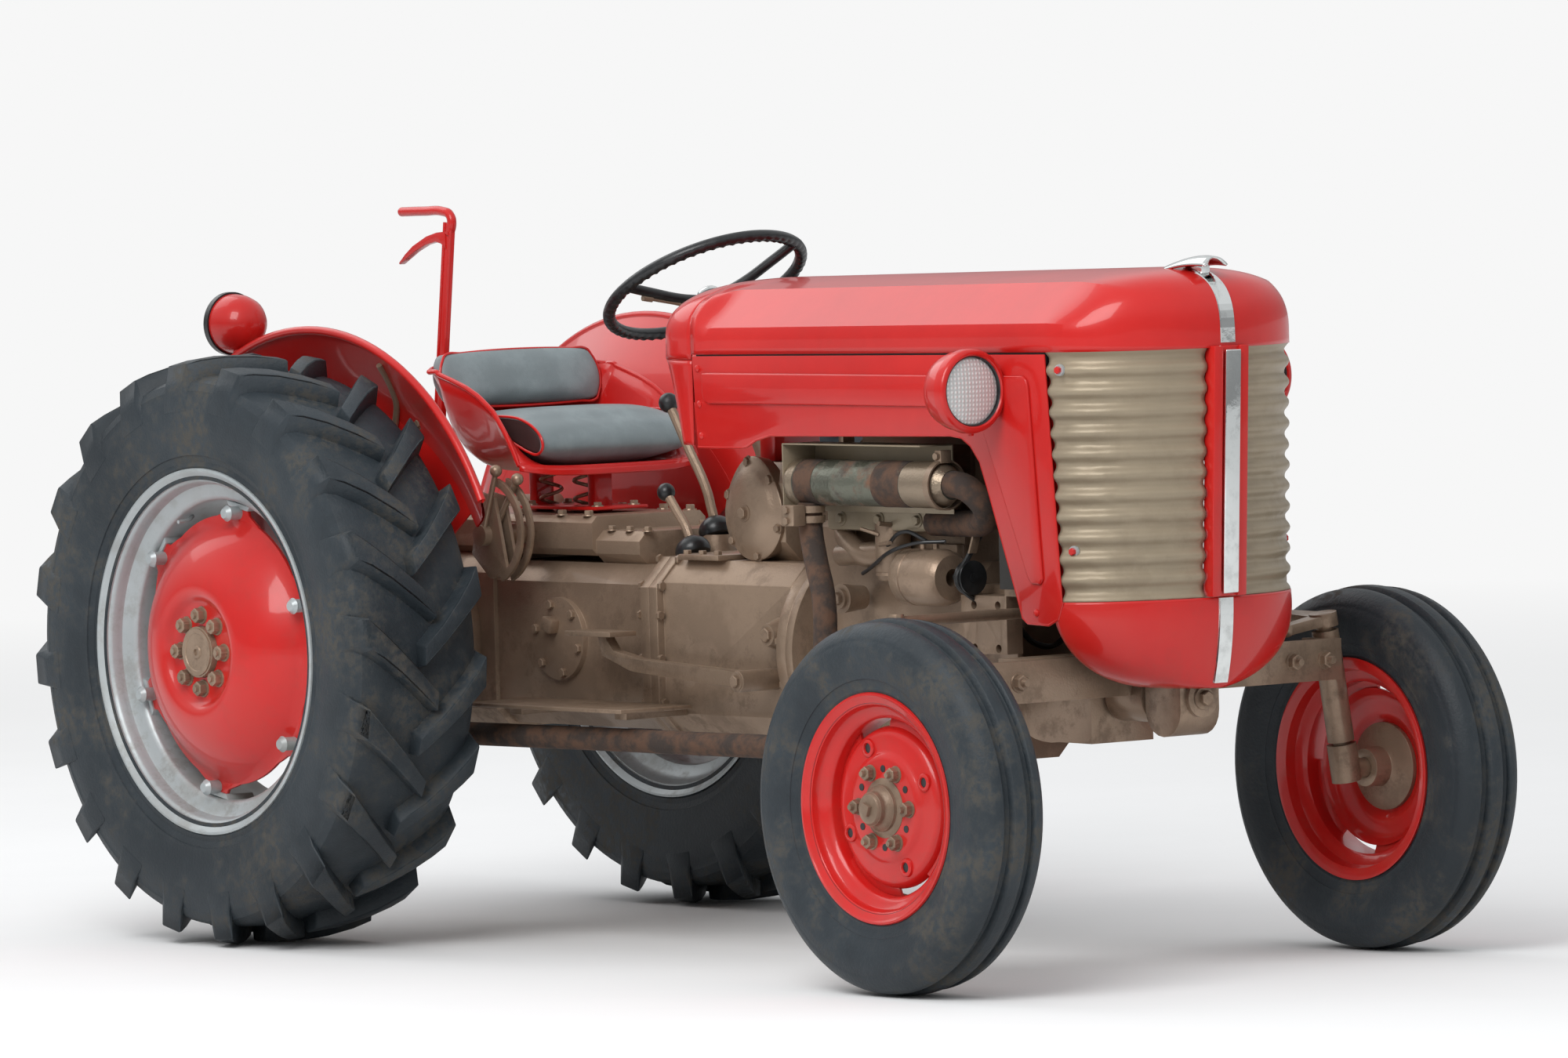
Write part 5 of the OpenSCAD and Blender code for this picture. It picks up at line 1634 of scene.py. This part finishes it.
class TRACTOR_OT_engine(bpy.types.Operator):
    """Dress the open engine: exhaust, manifold, shield, generator, wires and hoses."""

    bl_idname = "tractor.engine"
    bl_label = "Engine dress"

    def execute(self, context):
        self.exhaust()
        self.manifold()
        self.fittings()
        self.belt_and_hoses()
        self.intake()
        return {"FINISHED"}

    def exhaust(self):
        """The muffler, its elbow and bands, the tail pipe and their clamps."""
        bm = bmesh.new()
        spun(bm, MUFFLER_CAN, at(1365, MUFFLER_Y, MUFFLER_Z), AHEAD, 48, ring=False)
        piece(bm, "muffler_can", "chassis", "rusty_steel", None, ("muffler",), 50)

        bm = bmesh.new()
        tube(bm, path(*ELBOW), 27, roundness=5)
        for start, width in ((1401, 58), (1647, 86)):
            band = ((0, 45), (0, 46.6), (width, 46.6), (width, 45))
            spun(bm, band, at(start, MUFFLER_Y, MUFFLER_Z), AHEAD, 48)
        piece(bm, "exhaust_elbow", "chassis", "rusty_steel", "rusted_pipe", (), 50)

        bm = bmesh.new()
        spun(bm, MUFFLER_BACK, at(1364.5, MUFFLER_Y, MUFFLER_Z), AHEAD, 48, ring=False)
        spun(bm, MUFFLER_FRONT, at(1735, MUFFLER_Y, MUFFLER_Z), AHEAD, 48, ring=False)
        piece(bm, "muffler_ends", "chassis", "rusty_steel", "heated_steel", (), 50)

        bm = bmesh.new()
        tube(bm, path(*TAIL_PIPE), 24, roundness=5)
        piece(bm, "tail_pipe", "chassis", "rusty_steel", "rusted_pipe", ("exhaust_pipe",), 50)

        bm = bmesh.new()
        for z in (885, 905):
            spun(bm, ((0, 24.5), (0, 30), (14, 30), (14, 24.5)), at(1420, -262, z), UP, 40)
        block(bm, at(1400, -322, 880), at(1440, -290, 922), 3)
        bolt_heads(bm, [at(1420, -322, 890), at(1420, -322, 912)], -LEFT, 8, 7)
        spun(bm, ((0, 46.5), (0, 50), (16, 50), (16, 46.5)), at(1815, MUFFLER_Y, MUFFLER_Z), AHEAD, 48)
        block(bm, at(1813, -262, 1008), at(1833, -234, 1034), 2.5)
        bolt_heads(bm, [at(1823, -262, 1022)], -LEFT, 8, 8)
        piece(bm, "exhaust_clamps", "chassis", "bronze_paint")

    def manifold(self):
        """The manifold and the muffler's heat shield."""
        bm = bmesh.new()
        block(bm, at(1380, -190, 866), at(1719, -112, 942), 9)
        for x in (1430, 1550, 1670):
            bolt_heads(bm, [at(x, -190, 890)], -LEFT, 10, 8, 15)
        piece(bm, "manifold_log", "chassis", "beige_paint", None, ("manifold",))

        bm = bmesh.new()
        block(bm, at(1366, -288, 1041), at(1800, -202, 1044), 1)
        block(bm, at(1366, -288, 905), at(1369, -202, 1044), 1)
        block(bm, at(1366, -205, 905), at(1800, -202, 1044), 1)
        piece(bm, "shield_sheet", "chassis", "beige_paint", None, ("heat_shield",))

    def fittings(self):
        """The generator, filter, starter, distributor, fan and valve cover."""
        bm = bmesh.new()
        spun(bm, GENERATOR, at(1640, -195, 778), AHEAD, 56)
        for x in (1690, 1730):
            bolt_heads(bm, [at(x, -195, 834)], UP, 7, 14)
        arm = ((-205, 828), (-185, 828), (-150, 930), (-168, 934))
        plate(bm, [at(1838, y, z) for y, z in arm], AHEAD * 6 * MM, 1.5)
        block(bm, at(1640, -150, 745), at(1740, -127, 842), 5)
        drum(bm, at(1560, 176, 600), at(1560, 176, 790), 45)
        drum(bm, at(1560, 176, 784), at(1560, 176, 796), 48)
        block(bm, at(1530, 126, 700), at(1590, 150, 760), 4)
        drum(bm, at(1287.3, 185, 690), at(1467, 185, 690), 46)
        drum(bm, at(1310, 185, 740), at(1420, 185, 740), 24)
        drum(bm, at(1640, 171, 820), at(1640, 171, 870), 40)
        drum(bm, at(1640, 171, 870), at(1640, 171, 910), 38, 30)
        block(bm, at(1620, 126, 830), at(1660, 150, 860), 4)
        drum(bm, at(1735, 0, FAN_AXIS), at(1862, 0, FAN_AXIS), 30)
        drum(bm, at(1862, 0, FAN_AXIS), at(1874, 0, FAN_AXIS), 44)
        hub = Matrix.Translation(at(1868, 0, FAN_AXIS))
        low, high = Vector((-2, -28, 34)) * MM, Vector((2, 28, 152)) * MM
        blade = Matrix.Translation((low + high) / 2) @ Matrix.Diagonal((*(high - low), 1))
        for angle in range(0, 360, 60):
            lean = Matrix.Rotation(math.radians(angle), 4, "X") @ Matrix.Rotation(math.radians(28), 4, "Z")
            bmesh.ops.create_cube(bm, size=1, matrix=hub @ lean @ blade)
        block(bm, at(1330, -57, 950), at(1700, 57, 1080), 14)
        piece(bm, "engine_aux", "chassis", "bronze_paint", None, ("engine_fittings",))

    def belt_and_hoses(self):
        """The fan belt with the generator's pulley, the leads and the two hoses."""
        bm = bmesh.new()
        tube(bm, [at(BELT_X, y, z) for y, z in BELT], 6, closed=True, roundness=2)
        spun(bm, PULLEY, at(1824, -195, 780), AHEAD, 40)
        drum(bm, at(1790, -195, 780), at(1846, -195, 780), 9, 9, 24)
        for lead in LEADS:
            tube(bm, path(*lead), 4)
        tube(bm, path(*TOP_HOSE), 24, roundness=4)
        tube(bm, path(*LOW_HOSE), 22, roundness=4)
        piece(bm, "engine_leads", "chassis", "black_plastic")

    def intake(self):
        """The intake hose, the carburettor's bowl and rods, and a cover on the block."""
        bm = bmesh.new()
        tube(bm, path(*INTAKE), 22, roundness=4)
        for start, end, radius in CARBURETTOR_RODS:
            tube(bm, path(start, end), radius, straight=True)
        spun(bm, FLOAT_BOWL, at(1560, -165, 790), -UP, 32, ring=False)
        drum(bm, at(1440, -205, 730), at(1440, -150, 730), 30, 24, 32)
        drum(bm, at(1440, -212, 730), at(1440, -204, 730), 20, 20, 28)
        bolt_heads(bm, [at(1440, -212, 730)], -LEFT, 13, 9)
        piece(bm, "intake_dress", "chassis", "bronze_paint")


class TRACTOR_OT_stage(bpy.types.Operator):
    """Set the floor, the light and the camera."""

    bl_idname = "tractor.stage"
    bl_label = "Stage"

    def floor(self):
        """A wide pale floor."""
        bm = bmesh.new()
        bmesh.ops.create_grid(bm, x_segments=2, y_segments=2, size=400)
        mesh = bpy.data.meshes.new("floor")
        bm.to_mesh(mesh)
        bm.free()
        add, set_input, spot = shader_kit("floor_paper")
        tone = patches(add, spot, 0.6, 0.3, 0.7)
        reach = add("ShaderNodeVectorMath", {0: spot}, operation="LENGTH").outputs["Value"]
        span = {"Value": reach, "From Min": 3.0, "From Max": 14.0}
        away = add("ShaderNodeMapRange", span).outputs["Result"]
        seen = add("ShaderNodeLightPath").outputs["Is Camera Ray"]
        far = product(add, away, seen)
        near = blend_colours(add, tone, (0.84, 0.84, 0.84), (0.86, 0.86, 0.86))
        set_input("Base Color", blend_colours(add, far, near, (0.0, 0.0, 0.0)))
        set_input("Emission Color", (0.93, 0.93, 0.93, 1))
        set_input("Emission Strength", far)
        set_input("Roughness", 0.95)
        set_input("Specular IOR Level", 0.0)
        mesh.materials.append(FINISHES["floor_paper"])
        obj = bpy.data.objects.new("floor", mesh)
        bpy.context.scene.collection.objects.link(obj)

    def sky(self, strength):
        """Light from all round, brighter overhead, with a plain pale background behind the tractor."""
        world = bpy.data.worlds.new("studio")
        bpy.context.scene.world = world
        world.use_nodes = True
        nodes, links = world.node_tree.nodes, world.node_tree.links
        light = nodes["Background"]
        facing = nodes.new("ShaderNodeTexCoord")
        split = nodes.new("ShaderNodeSeparateXYZ")
        links.new(facing.outputs["Generated"], split.inputs["Vector"])
        level = nodes.new("ShaderNodeMapRange")
        level.inputs["From Min"].default_value = -0.05
        level.inputs["From Max"].default_value = 0.5
        level.inputs["To Min"].default_value = 0.42 * strength
        level.inputs["To Max"].default_value = 1.35 * strength
        level.interpolation_type = "SMOOTHSTEP"
        links.new(split.outputs["Z"], level.inputs["Value"])
        links.new(level.outputs["Result"], light.inputs["Strength"])
        light.inputs["Color"].default_value = (0.97, 0.985, 1.0, 1)
        plain = nodes.new("ShaderNodeBackground")
        plain.inputs["Color"].default_value = (0.93, 0.93, 0.93, 1)
        path = nodes.new("ShaderNodeLightPath")
        mix = nodes.new("ShaderNodeMixShader")
        links.new(path.outputs["Is Camera Ray"], mix.inputs["Fac"])
        links.new(light.outputs["Background"], mix.inputs[1])
        links.new(plain.outputs["Background"], mix.inputs[2])
        links.new(mix.outputs["Shader"], nodes["World Output"].inputs["Surface"])

    def lamp(self, name, place, aim, size, power):
        """A square soft light."""
        data = bpy.data.lights.new(name, "AREA")
        data.shape = "SQUARE"
        data.size = size
        data.energy = power
        obj = bpy.data.objects.new(name, data)
        obj.location = place
        obj.rotation_euler = (aim - place).to_track_quat("-Z", "Y").to_euler()
        bpy.context.scene.collection.objects.link(obj)

    def camera(self, studio):
        """The camera at the photograph's angle."""
        data = bpy.data.cameras.new("camera")
        data.sensor_fit = "HORIZONTAL"
        data.sensor_width = 36.0
        data.lens = studio.lens
        data.clip_end = 900.0
        obj = bpy.data.objects.new("camera", data)
        a, e = studio.azimuth, studio.elevation
        back = Vector((math.sin(a) * math.cos(e), -math.cos(a) * math.cos(e), math.sin(e)))
        right = Vector((math.cos(a), math.sin(a), 0))
        over = back.cross(right)
        lean_right = right * math.cos(studio.roll) + over * math.sin(studio.roll)
        lean_up = over * math.cos(studio.roll) - right * math.sin(studio.roll)
        turn = Matrix((lean_right, lean_up, back)).transposed().to_4x4()
        obj.matrix_world = Matrix.Translation(Vector(studio.target) + back * studio.distance) @ turn
        bpy.context.scene.collection.objects.link(obj)
        bpy.context.scene.camera = obj

    def execute(self, context):
        studio = context.scene.tractor_studio
        context.scene.view_settings.view_transform = "Standard"
        self.floor()
        self.sky(studio.sky)
        aim = Vector((0, 0, 0.7))
        self.lamp("key", Vector((3.5, -6.5, 6.5)), aim, 5.0, studio.key)
        self.lamp("rim", Vector((-6.2, -0.6, 6.2)), aim, 6.0, studio.key * 0.3)
        self.camera(studio)
        return {"FINISHED"}


OPERATORS = (
    TRACTOR_OT_stage,
    TRACTOR_OT_finishes,
    TRACTOR_OT_castings,
    TRACTOR_OT_fasteners,
    TRACTOR_OT_rear_tyres,
    TRACTOR_OT_rear_wheels,
    TRACTOR_OT_front_tyres,
    TRACTOR_OT_front_wheels,
    TRACTOR_OT_hood,
    TRACTOR_OT_side_panels,
    TRACTOR_OT_nose,
    TRACTOR_OT_fenders,
    TRACTOR_OT_lamps,
    TRACTOR_OT_seat,
    TRACTOR_OT_steering_wheel,
    TRACTOR_OT_levers,
    TRACTOR_OT_engine,
)
SETTINGS = (
    ("tractor_colours", TractorColours),
    ("tractor_wheels", TractorWheels),
    ("tractor_bodywork", TractorBodywork),
    ("tractor_studio", TractorStudio),
)


class VIEW3D_PT_tractor(bpy.types.Panel):
    """Buttons for the tractor's pieces."""

    bl_label = "Tractor"
    bl_space_type = "VIEW_3D"
    bl_region_type = "UI"
    bl_category = "Tractor"

    def draw(self, context):
        column = self.layout.column(align=True)
        for operator in OPERATORS:
            column.operator(operator.bl_idname)


def register():
    """Registers the settings, the operators and the panel."""
    for name, group in SETTINGS:
        bpy.utils.register_class(group)
        setattr(bpy.types.Scene, name, PointerProperty(type=group))
    for operator in OPERATORS:
        bpy.utils.register_class(operator)
    bpy.utils.register_class(VIEW3D_PT_tractor)


def unregister():
    """Takes them out again."""
    bpy.utils.unregister_class(VIEW3D_PT_tractor)
    for operator in reversed(OPERATORS):
        bpy.utils.unregister_class(operator)
    for name, group in reversed(SETTINGS):
        delattr(bpy.types.Scene, name)
        bpy.utils.unregister_class(group)


def main():
    """Builds every piece in order."""
    register()
    for operator in OPERATORS:
        group, call = operator.bl_idname.split(".")
        getattr(getattr(bpy.ops, group), call)()


if __name__ == "__main__":
    main()
